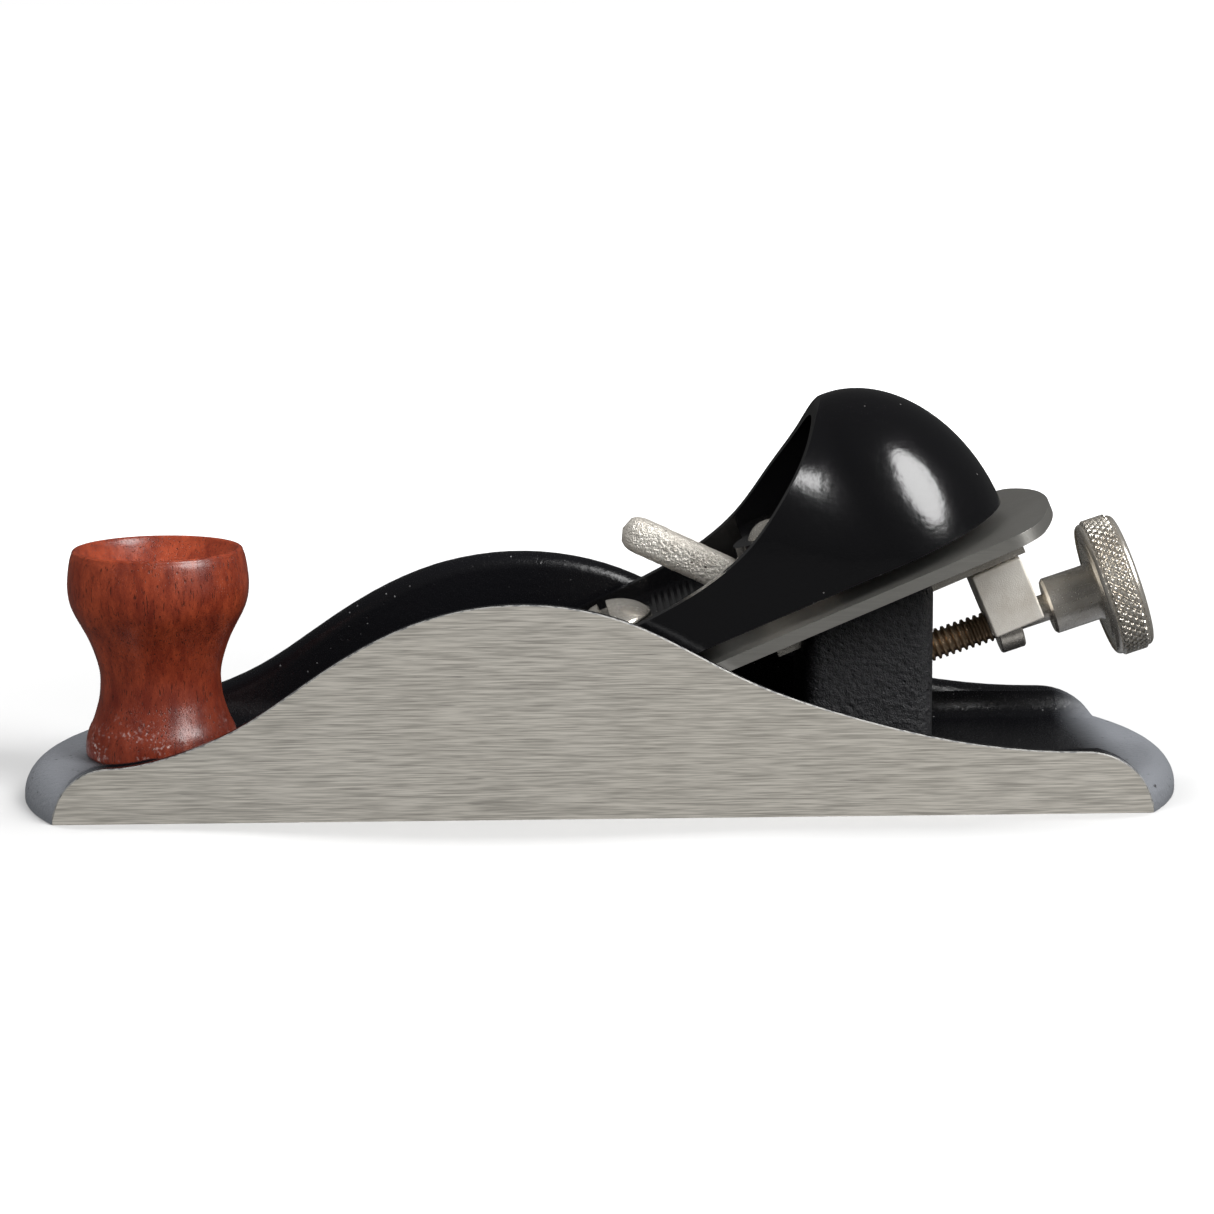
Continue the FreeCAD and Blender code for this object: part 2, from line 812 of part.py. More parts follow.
def rim_cut():
    """Everything above the rim: low side walls in front, sweeping up to the crown of the hood."""
    start, high = size.cap_hood_start.value, size.cap_hood_height.value
    base = size.iron_thickness.value + size.cap_lift.value
    front, floor_start = size.cap_front.value, size.cap_floor_start.value
    floor = size.cap_floor_top.value
    crown = base + high
    rim = [(front - 1.2, base - 0.2), (floor_start, floor + 0.9), (start - 38.0, floor + 2.2)]
    rim += [(start - 26.0, floor + 3.8), (start - 19.0, floor + 6.2), (start - 11.5, floor + 10.9)]
    rim += [(start - 4.6, crown - 4.3), (start - 1.2, crown - 0.9), (start + 0.8, crown + 0.6)]
    width = 4 * cap_half.value
    curve = spline([Vector(x, -width / 2, z) for x, z in rim])
    first, last = rim[0], rim[-1]
    top = crown + 10
    closing = Part.makePolygon(
        [
            Vector(last[0], -width / 2, last[1]),
            Vector(last[0], -width / 2, top),
            Vector(first[0] - 5, -width / 2, top),
            Vector(first[0] - 5, -width / 2, first[1]),
            Vector(first[0], -width / 2, first[1]),
        ]
    )
    return Part.Face(Part.Wire([curve] + closing.Edges)).extrude(Vector(0, width, 0))


def lever_cap():
    """Cast lever cap: foot, floor with its keyhole, side walls, shelf and hood."""
    wall = size.cap_wall.value
    outer = feature("cap_outer", cap_form(0).cut(rim_cut()))
    inner_shape = cap_form(wall)
    inner_shape.translate(Vector(0, 0, -0.01))
    under = size.iron_thickness + size.cap_lift
    floor_under = size.cap_floor_top - size.cap_floor_thickness
    inner = feature("cap_inner", inner_shape)
    wide = cap_half * 2 + 4.0
    floor_box = box(
        "cap_floor_zone",
        size.cap_front - 2.0,
        -(wide / 2),
        floor_under,
        size.cap_floor_end - size.cap_front + 2.0,
        wide,
        size.cap_floor_thickness,
    )
    foot_zone = box(
        "cap_foot_zone",
        size.cap_front - 2.0,
        -(wide / 2),
        under - 1.0,
        size.cap_foot_length + 2.0,
        wide,
        floor_under - under + 2.0,
    )
    shelf_zone = box(
        "shelf_zone",
        size.shelf_front,
        -(wide / 2),
        size.shelf_top - size.shelf_thickness,
        cap_half + 30.0,
        wide,
        size.shelf_thickness,
    )
    boss = cylinder(
        "boss",
        size.cam_x,
        0,
        size.shelf_top - size.shelf_thickness,
        size.boss_radius,
        size.shelf_thickness + 0.2,
    )
    hollow = cut("cap_hollow", inner, floor_box, foot_zone, shelf_zone, boss)
    shell = cut("cap_shell", outer, hollow)

    foot = slab(
        "cap_foot",
        [
            (size.cap_front, size.iron_thickness),
            (size.cap_front, under + 0.6),
            (size.cap_front + size.cap_foot_length, under + 3.0),
            (size.cap_front + size.cap_foot_length + 3.0, under + 0.5),
            (size.cap_front + size.cap_foot_length, size.iron_thickness),
        ],
        cap_half * 2,
    )
    slope = slab(
        "cap_slope",
        [
            (size.cap_front - 3.0, under),
            (size.cap_front, under + 0.6),
            (size.cap_floor_start, size.cap_floor_top),
            (size.cap_floor_start, size.cap_floor_top + 8.0),
            (size.cap_front - 3.0, size.cap_floor_top + 8.0),
        ],
        cap_half * 2 - size.cap_wall * 2,
    )
    ribs = []
    rib_start = size.cap_screw_x + size.cap_screw_head_radius + 0.6
    for number in range(int(size.cap_rib_count.value)):
        ribs.append(
            box(
                f"cap_rib_{number}",
                rib_start + size.cap_rib_pitch * number,
                -(size.cap_rib_length / 2),
                size.cap_floor_top - 0.1,
                size.cap_rib_size,
                size.cap_rib_length,
                size.cap_rib_size + 0.1,
            )
        )
    rivet_hole = cylinder("rivet_hole", size.cam_x, 0, 0, size.rivet_radius, size.shelf_top + 5.0)
    slot_half = size.cap_screw_radius + size.loose_play
    slot = box(
        "cap_slot",
        size.cap_screw_x - size.keyhole_shift,
        -slot_half,
        floor_under - 2.0,
        size.keyhole_shift,
        slot_half * 2,
        size.cap_floor_thickness + 4.0,
    )
    slot_end = cylinder(
        "cap_slot_end", size.cap_screw_x, 0, floor_under - 2.0, slot_half, size.cap_floor_thickness + 4.0
    )
    keyhole = cylinder(
        "cap_keyhole",
        size.cap_screw_x - size.keyhole_shift,
        0,
        floor_under - 2.0,
        size.keyhole_radius,
        size.cap_floor_thickness + 4.0,
    )
    blank = fuse("cap_blank", shell, foot, *ribs)
    cap = cut("lever_cap", blank, slope, rivet_hole, slot, slot_end, keyhole)
    cap.Placement = BED
    return cap


def lever_cap_screw():
    """Slotted dome-headed screw that the cap hooks under."""
    seat = size.cap_floor_top + size.running_play
    shank = cylinder(
        "cap_screw_shank",
        size.cap_screw_x,
        0,
        -size.cap_screw_depth,
        size.cap_screw_radius,
        size.cap_screw_depth + seat + 0.2,
    )
    radius, rise = size.cap_screw_head_radius, size.cap_screw_dome
    ball = (radius * radius + rise * rise) / (rise * 2)
    top = seat + size.cap_screw_head_edge + rise
    dome = sphere("cap_screw_ball", size.cap_screw_x, 0, top - ball, ball)
    barrel = cylinder("cap_screw_barrel", size.cap_screw_x, 0, seat, radius, size.cap_screw_head_edge + rise)
    head = common("cap_screw_head", dome, barrel)
    slot = box(
        "cap_screw_slot",
        size.cap_screw_x - size.driver_slot_width / 2,
        -radius - 1.0,
        top - size.driver_slot_depth,
        size.driver_slot_width,
        radius * 2 + 2.0,
        size.driver_slot_depth + 1.0,
    )
    screw = cut("lever_cap_screw", fuse("cap_screw_blank", shank, head), slot)
    screw.Placement = BED
    return screw


def cam_lever():
    """Clamping lever: a round cam hub on the iron and an arm that rises forward from it."""
    low = size.iron_thickness + size.slide_play
    high = size.shelf_top - size.shelf_thickness - size.slide_play
    hub = cylinder("cam_hub", size.cam_x, 0, low, size.cam_radius, high - low)
    run = size.lever_tip_x - size.lever_foot_x
    rise = size.lever_tip_height - size.lever_foot_height
    reach = math.hypot(run.value, rise.value)
    lean = Rotation(Vector(0, 1, 0), math.degrees(math.atan2(run.value, rise.value)))
    arm = cylinder("lever_arm", size.lever_foot_x, 0, size.lever_foot_height, size.lever_radius, 1.0, lean)
    arm.setExpression("Height", repr(reach))
    tip = sphere("lever_tip", size.lever_tip_x, 0, size.lever_tip_height, size.lever_radius)
    foot = sphere("lever_foot", size.lever_foot_x, 0, size.lever_foot_height, size.lever_radius)
    bore = cylinder("cam_bore", size.cam_x, 0, 0, size.rivet_radius + size.running_play, high + 5.0)
    lever = cut("cam_lever", fuse("cam_lever_blank", hub, arm, tip, foot), bore)
    lever.Placement = BED
    return lever


def cam_rivet():
    """Round-headed rivet through the shelf that the cam lever turns on."""
    low = size.iron_thickness + size.loose_play
    shank = cylinder("rivet_shank", size.cam_x, 0, low, size.rivet_radius, size.shelf_top - low + 0.4)
    seat = size.shelf_top + 0.2
    head = cylinder("rivet_head", size.cam_x, 0, seat, size.rivet_head_radius, size.rivet_head_height)
    top = seat + size.rivet_head_height
    crown = rounded("rivet_crown", head, 0.9, lambda e: level(e, top))
    rivet = fuse("cam_rivet", shank, crown)
    rivet.Placement = BED
    return rivet


# ---------------------------------------------------------------- adjuster


def adjuster_bar():
    """Sliding bar in the post's groove; its tooth sits in one of the iron's grooves."""
    top = -size.slide_play
    bar = box(
        "bar",
        size.bar_start,
        -(size.bar_width / 2),
        top - size.bar_thickness,
        size.bar_end - size.bar_start,
        size.bar_width,
        size.bar_thickness,
    )
    tooth = box(
        "tooth",
        size.groove_start + size.groove_pitch * size.tooth_groove - size.groove_width / 2 + size.slide_play,
        -(size.tooth_length / 2),
        top - 0.5,
        size.groove_width - size.slide_play * 2,
        size.tooth_length,
        size.tooth_height + 0.5,
    )
    hole = cylinder(
        "stud_hole",
        size.block_start + size.block_length / 2,
        0,
        top - size.bar_thickness - 1.0,
        size.stud_radius + size.loose_play,
        size.bar_thickness + 2.0,
    )
    bar = cut("adjuster_bar", fuse("bar_blank", bar, tooth), hole)
    bar.Placement = BED
    return bar


def adjuster_block():
    """Block that straddles the screw's neck and collar, its stud up in the bar."""
    top = -size.slide_play - size.bar_thickness - size.block_gap
    blank = box(
        "block_blank",
        size.block_start,
        -(size.block_width / 2),
        top - size.block_height,
        size.block_length,
        size.block_width,
        size.block_height,
    )
    edges = rounded("block_rounded", blank, 0.35, lambda edge: True)
    stud = cylinder(
        "block_stud",
        size.block_start + size.block_length / 2,
        0,
        top - 0.5,
        size.stud_radius,
        size.bar_thickness + 0.3,
    )
    solid = fuse("block_solid", edges, stud)
    solid.Placement = BED

    def slot_at(name, start, length, radius):
        """A slot along the screw, open at the bottom of the block."""
        round_end = cylinder(name + "_round", start, 0, 0, radius, length, ALONG_X, SCREW)
        way_in = box(name + "_way", start, -radius, -20.0, length, radius * 2, 20.0, SCREW)
        return round_end, way_in

    gap = size.loose_play
    collar = slot_at(
        "collar_slot",
        size.collar_start - size.slide_play,
        size.collar_length + size.slide_play * 2,
        size.collar_radius + gap,
    )
    through = slot_at("neck_slot", size.collar_start - 8.0, size.collar_length + 20.0, size.screw_radius + gap)
    return cut("adjuster_block", solid, *collar, *through)


def adjuster_screw():
    """Threaded spindle with its collar and neck."""
    end = size.hub_start + size.hub_length
    thread_length = size.collar_start - size.screw_start
    rod = cylinder("rod", size.screw_start, 0, 0, size.screw_radius, thread_length, ALONG_X)
    collar = cylinder("collar", size.collar_start, 0, 0, size.collar_radius, size.collar_length, ALONG_X)
    neck = cylinder("neck", size.collar_start, 0, 0, size.neck_radius, end - size.collar_start, ALONG_X)
    screw = fuse("adjuster_screw", rod, collar, neck)
    screw.Placement = SCREW
    return screw


def adjuster_knob():
    """Hub and knurled wheel on the end of the spindle."""
    wheel_start = size.hub_start + size.hub_length
    hub = cylinder("hub", size.hub_start, 0, 0, size.hub_radius, size.hub_length + 1.0, ALONG_X)
    disc = cylinder("disc", wheel_start, 0, 0, size.wheel_radius, size.wheel_width, ALONG_X)
    wheel = rounded("wheel", disc, size.wheel_round, lambda e: e.Curve.TypeId == "Part::GeomCircle")
    bore = cylinder("hub_bore", size.hub_start - 1.0, 0, 0, size.neck_radius, size.hub_length + 1.0, ALONG_X)
    knob = cut("adjuster_knob", fuse("knob_turned", hub, wheel), bore)
    knob.Placement = SCREW
    return knob


# ---------------------------------------------------------------- build and write

PARTS = [
    plane_body,
    front_knob,
    knob_screw,
    plane_iron,
    lever_cap,
    lever_cap_screw,
    cam_lever,
    cam_rivet,
    adjuster_bar,
    adjuster_block,
    adjuster_screw,
    adjuster_knob,
]


def main():
    """Build every sub-part, check the document and write one STEP file each."""
    made = []
    for maker in PARTS:
        part = maker()
        part.Label = maker.__name__
        made.append(part)
    doc.recompute()
    for obj in doc.Objects:
        if "Invalid" in obj.State or "Error" in obj.State:
            raise RuntimeError(f"{obj.Name} failed: {obj.State}")
    os.makedirs("parts", exist_ok=True)
    for part in made:
        shape = part.Shape
        if shape.isNull() or not shape.isValid() or len(shape.Solids) != 1:
            raise RuntimeError(f"{part.Label}: {len(shape.Solids)} solids, valid {shape.isValid()}")
    for part in made:
        part.Shape.exportStep(f"parts/{part.Label}.step")
        extent = part.Shape.BoundBox
        print(part.Label, round(part.Shape.Volume, 1), extent)


main()
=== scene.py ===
"""Looks for the low-angle block plane: enamelled casting and cap, nickel fittings, turned wooden knob.

Everything is in metres in the row frame. Lengths in the dataclasses are millimetres.
"""

import logging
import math
from dataclasses import dataclass
from enum import Enum
from typing import Iterable, Sequence

import bmesh
import bpy
from mathutils import Matrix, Vector, noise


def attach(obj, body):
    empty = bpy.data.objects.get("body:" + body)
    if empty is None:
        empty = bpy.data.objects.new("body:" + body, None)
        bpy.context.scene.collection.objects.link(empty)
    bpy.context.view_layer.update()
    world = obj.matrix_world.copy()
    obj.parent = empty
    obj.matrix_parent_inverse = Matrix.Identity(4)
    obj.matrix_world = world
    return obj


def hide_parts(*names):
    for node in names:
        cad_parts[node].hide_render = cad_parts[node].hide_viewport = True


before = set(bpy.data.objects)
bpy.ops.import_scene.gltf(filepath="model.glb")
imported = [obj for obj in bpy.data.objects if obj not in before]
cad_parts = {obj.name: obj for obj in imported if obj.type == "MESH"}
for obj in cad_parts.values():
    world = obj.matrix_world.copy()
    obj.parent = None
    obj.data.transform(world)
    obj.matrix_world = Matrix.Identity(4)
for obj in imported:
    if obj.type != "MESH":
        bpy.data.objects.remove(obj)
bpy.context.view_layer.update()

logging.basicConfig(level=logging.INFO, format="%(message)s")
log = logging.getLogger("block_plane")

MM = 0.001
Colour = tuple[float, float, float]
Point = tuple[float, float, float]
FULL_TURN = 2 * math.pi
BED_ANGLE = math.radians(22.9)
SCREW_ANGLE = math.radians(18.34)


class Slot(Enum):
    """Material slots of the record."""

    CASTING = "casting"
    WOOD = "wood"
    STEEL = "steel"
    ENAMEL = "enamel"
    NICKEL = "nickel"


class Body(Enum):
    """Moving bodies of the record."""

    BODY = "body"
    BLOCK = "screw_block"
    SPINDLE = "spindle"
    BAR = "slide_bar"
    IRON = "iron"
    CAP = "cap"
    CAM = "cam"
    CAP_SCREW = "cap_screw"


def tilted(origin: Point, angle: float) -> Matrix:
    """Frame whose x axis rises at an angle over world X.

    Args:
        origin: Where the frame starts, in millimetres.
        angle: Rise of its x axis, in radians.

    Returns:
        The frame as a matrix in metres.
    """
    turn = Matrix.Rotation(-angle, 4, "Y")
    return Matrix.Translation(Vector(origin) * MM) @ turn


BED = tilted((-31.4, 0.0, 0.0), BED_ANGLE)
SCREW = tilted((0.0, 0.0, 3.87), SCREW_ANGLE)
ALONG_X = Matrix.Rotation(math.pi / 2, 4, "Y")


# ---------------------------------------------------------------- mesh tools


def link(piece: bpy.types.Object) -> bpy.types.Object:
    """Put a new object in the scene."""
    bpy.context.scene.collection.objects.link(piece)
    return piece


def mesh_from(name: str, points: Iterable[Vector], faces: Iterable[Sequence[int]]) -> bpy.types.Object:
    """Object from points in metres and faces.

    Args:
        name: Name of the piece.
        points: Vertex places in the row frame.
        faces: Vertex numbers of each face.

    Returns:
        The linked object.
    """
    mesh = bpy.data.meshes.new(name)
    mesh.from_pydata([tuple(p) for p in points], [], [tuple(f) for f in faces])
    mesh.validate()
    piece = link(bpy.data.objects.new(name, mesh))
    tidy_mesh(piece)
    return piece


def tidy_mesh(piece: bpy.types.Object, sharp: float = 34.0) -> None:
    """Weld doubles, face outwards, and shade smooth except over sharp edges.

    Args:
        piece: Object to tidy.
        sharp: Angle in degrees from which an edge stays crisp.
    """
    mesh = piece.data
    bm = bmesh.new()
    bm.from_mesh(mesh)
    bmesh.ops.remove_doubles(bm, verts=bm.verts, dist=2e-6)
    bmesh.ops.dissolve_degenerate(bm, dist=1e-6, edges=bm.edges)
    bmesh.ops.recalc_face_normals(bm, faces=bm.faces)
    for face in bm.faces:
        face.smooth = True
    limit = math.radians(sharp)
    for edge in bm.edges:
        edge.smooth = len(edge.link_faces) == 2 and edge.calc_face_angle(0.0) < limit
    bm.to_mesh(mesh)
    bm.free()
    mesh.update()


def ring_mesh(name: str, rings: Sequence[Sequence[Vector]], capped: bool = True) -> bpy.types.Object:
    """Skin over closed rings of equal count.

    Args:
        name: Name of the piece.
        rings: Closed rings of points, in order.
        capped: Whether the two end rings are filled.

    Returns:
        The skinned object.
    """
    count = len(rings[0])
    points = [p for ring in rings for p in ring]
    faces: list[Sequence[int]] = []
    for row in range(len(rings) - 1):
        low, high = row * count, (row + 1) * count
        for side in range(count):
            after = (side + 1) % count
            faces.append((low + side, low + after, high + after, high + side))
    if capped:
        faces.append(tuple(range(count - 1, -1, -1)))
        faces.append(tuple(range(len(points) - count, len(points))))
    return mesh_from(name, points, faces)


def lathe(
    name: str, profile: Sequence[tuple[float, float]], place: Matrix, steps: int = 96
) -> bpy.types.Object:
    """Turned piece from a profile of radius and height in millimetres.

    Args:
        name: Name of the piece.
        profile: Radius and height pairs, from one end to the other.
        place: Frame whose z axis is the turning axis.
        steps: Sides of a full turn.

    Returns:
        The turned object.
    """
    rings = []
    for radius, height in profile:
        ring = []
        for step in range(steps):
            angle = FULL_TURN * step / steps
            local = Vector((radius * math.cos(angle), radius * math.sin(angle), height)) * MM
            ring.append(place @ local)
        rings.append(ring)
    return ring_mesh(name, rings)


def arc(
    centre: tuple[float, float], radius: float, start: float, end: float, steps: int = 6
) -> list[tuple[float, float]]:
    """Points of a circular arc, angles in degrees."""
    points = []
    for step in range(steps + 1):
        angle = math.radians(start + (end - start) * step / steps)
        points.append((centre[0] + radius * math.cos(angle), centre[1] + radius * math.sin(angle)))
    return points


def smooth_curve(knots: Sequence[tuple[float, float]], steps: int = 6) -> list[tuple[float, float]]:
    """Catmull-Rom curve through a few points.

    Args:
        knots: Points that the curve passes through.
        steps: Divisions of each span.

    Returns:
        Evenly divided points, ends included.
    """
    ends = [knots[0], *knots, knots[-1]]
    points = []
    for number in range(1, len(ends) - 2):
        a, b, c, d = (Vector(ends[number + k]) for k in (-1, 0, 1, 2))
        for step in range(steps):
            t = step / steps
            square = (2 * a - 5 * b + 4 * c - d) * t**2
            cube = (3 * b - a - 3 * c + d) * t**3
            p = 0.5 * (2 * b + (c - a) * t + square + cube)
            points.append((p.x, p.y))
    points.append(tuple(knots[-1]))
    return points


def box_mesh(name: str, low: Point, high: Point, place: Matrix) -> bpy.types.Object:
    """Plain block between two corners, in millimetres of a frame. Only used as a cutter."""
    points = []
    for z in (low[2], high[2]):
        for x, y in ((low[0], low[1]), (high[0], low[1]), (high[0], high[1]), (low[0], high[1])):
            points.append(place @ (Vector((x, y, z)) * MM))
    faces = [(0, 3, 2, 1), (4, 5, 6, 7), (0, 1, 5, 4), (1, 2, 6, 5), (2, 3, 7, 6), (3, 0, 4, 7)]
    return mesh_from(name, points, faces)


def apply_modifiers(piece: bpy.types.Object) -> None:
    """Bake an object's modifiers into its mesh."""
    graph = bpy.context.evaluated_depsgraph_get()
    mesh = bpy.data.meshes.new_from_object(piece.evaluated_get(graph))
    piece.modifiers.clear()
    piece.data = mesh


def boolean(piece: bpy.types.Object, tool: bpy.types.Object, operation: str = "DIFFERENCE") -> None:
    """Cut or join one piece with another and delete the tool.

    Args:
        piece: Object that is changed.
        tool: Object that is used up.
        operation: DIFFERENCE, UNION or INTERSECT.
    """
    step = piece.modifiers.new("cut", "BOOLEAN")
    step.operation = operation
    step.solver = "EXACT"
    step.object = tool
    apply_modifiers(piece)
    bpy.data.objects.remove(tool)
    tidy_mesh(piece)


def soften(piece: bpy.types.Object, width: float, angle: float = 38.0, segments: int = 2) -> None:
    """Ease the crisp edges of a piece.

    Args:
        piece: Object to ease.
        width: Width of the eased edge in millimetres.
        angle: Edges sharper than this many degrees are eased.
        segments: Steps across the edge.
    """
    step = piece.modifiers.new("eased", "BEVEL")
    step.width = width * MM
    step.segments = segments
    step.limit_method = "ANGLE"
    step.angle_limit = math.radians(angle)
    step.harden_normals = True
    apply_modifiers(piece)


def roughen(piece: bpy.types.Object, depth: float, grain: float, seed: float = 0.0) -> None:
    """Push the surface in and out as a sand casting is.

    Args:
        piece: Object to roughen.
        depth: Largest move in millimetres.
        grain: Size of the lumps in millimetres.
        seed: Offset of the pattern.
    """
    mesh = piece.data
    moved = []
    for vertex in mesh.vertices:
        at = vertex.co / (grain * MM) + Vector((seed, seed, seed))
        push = 0.6 * noise.noise(at) + 0.4 * noise.noise(at * 2.3)
        moved.append(vertex.co + vertex.normal * push * depth * MM)
    for vertex, place in zip(mesh.vertices, moved):
        vertex.co = place
    mesh.update()


def cad_copy(node: str, name: str) -> bpy.types.Object:
    """Piece with the shape of a CAD node, welded and with its flat faces whole.

    Args:
        node: Name of the CAD node.
        name: Name of the new piece.

    Returns:
        The linked copy.
    """
    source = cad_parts[node]
    mesh = source.data.copy()
    mesh.materials.clear()
    mesh.transform(source.matrix_world)
    piece = link(bpy.data.objects.new(name, mesh))
    bm = bmesh.new()
    bm.from_mesh(mesh)
    bmesh.ops.remove_doubles(bm, verts=bm.verts, dist=1e-6)
    bmesh.ops.dissolve_limit(bm, angle_limit=math.radians(0.4), verts=bm.verts, edges=bm.edges)
    bm.to_mesh(mesh)
    bm.free()
    tidy_mesh(piece)
    return piece


# ---------------------------------------------------------------- shader tools


class Graph:
    """Short way to lay nodes in a tree."""

    def __init__(self, tree: bpy.types.NodeTree) -> None:
        """Keep the tree that nodes are added to."""
        self.tree = tree

    def node(self, kind: str, inputs: dict | None = None, **settings: object) -> bpy.types.Node:
        """Add a node.

        Args:
            kind: Node type without its ShaderNode prefix.
            inputs: Values or sockets for its inputs, by name or number.
            settings: Attributes of the node.

        Returns:
            The new node.
        """
        made = self.tree.nodes.new(f"ShaderNode{kind}")
        for key, value in settings.items():
            setattr(made, key, value)
        for key, value in (inputs or {}).items():
            socket = made.inputs[key]
            if isinstance(value, bpy.types.NodeSocket):
                self.tree.links.new(value, socket)
            else:
                socket.default_value = value
        return made

    def math(self, operation: str, *values: object, clamp: bool = False) -> bpy.types.NodeSocket:
        """Result of a Math node on up to three values or sockets."""
        return self.node("Math", dict(enumerate(values)), operation=operation, use_clamp=clamp).outputs[0]

    def noise(
        self, vector: object, scale: float, detail: float = 3.0, rough: float = 0.5
    ) -> bpy.types.NodeSocket:
        """Noise from 0 to 1 at a scale per metre."""
        inputs = {"Vector": vector, "Scale": scale, "Detail": detail, "Roughness": rough}
        return self.node("TexNoise", inputs).outputs["Fac"]

    def stretched(self, vector: object, scale: Point) -> bpy.types.NodeSocket:
        """Coordinates scaled on each axis."""
        return self.node("Mapping", {"Vector": vector, "Scale": scale}).outputs[0]

    def ramp(self, value: object, low: float, high: float) -> bpy.types.NodeSocket:
        """Smooth step from 0 at low to 1 at high."""
        inputs = {"Value": value, "From Min": low, "From Max": high}
        return self.node("MapRange", inputs, interpolation_type="SMOOTHSTEP").outputs[0]

    def spread(self, value: object, low: float, high: float) -> bpy.types.NodeSocket:
        """Value from 0 to 1 brought between low and high."""
        return self.node("MapRange", {"Value": value, "To Min": low, "To Max": high}).outputs[0]

    def blend(self, factor: object, first: object, second: object) -> bpy.types.NodeSocket:
        """Mix two colours; plain colours may be given as three numbers."""
        first, second = (v if isinstance(v, bpy.types.NodeSocket) else (*v, 1.0) for v in (first, second))
        made = self.node("Mix", {"Factor": factor}, data_type="RGBA")
        for socket, value in ((made.inputs[6], first), (made.inputs[7], second)):
            if isinstance(value, bpy.types.NodeSocket):
                self.tree.links.new(value, socket)
            else:
                socket.default_value = value
        return made.outputs[2]

    def bump(self, height: object, distance: float, strength: float = 1.0) -> bpy.types.NodeSocket:
        """Normal from a height in 0 to 1, distance in millimetres."""
        inputs = {"Height": height, "Distance": distance * MM, "Strength": strength}
        return self.node("Bump", inputs).outputs[0]

    def group(self, tree: bpy.types.NodeTree, **inputs: object) -> bpy.types.Node:
        """Place a shared effect, its inputs given by name."""
        made = self.node("Group", node_tree=tree)
        for key, value in inputs.items():
            socket = made.inputs[key]
            if isinstance(value, bpy.types.NodeSocket):
                self.tree.links.new(value, socket)
            else:
                socket.default_value = value
        return made


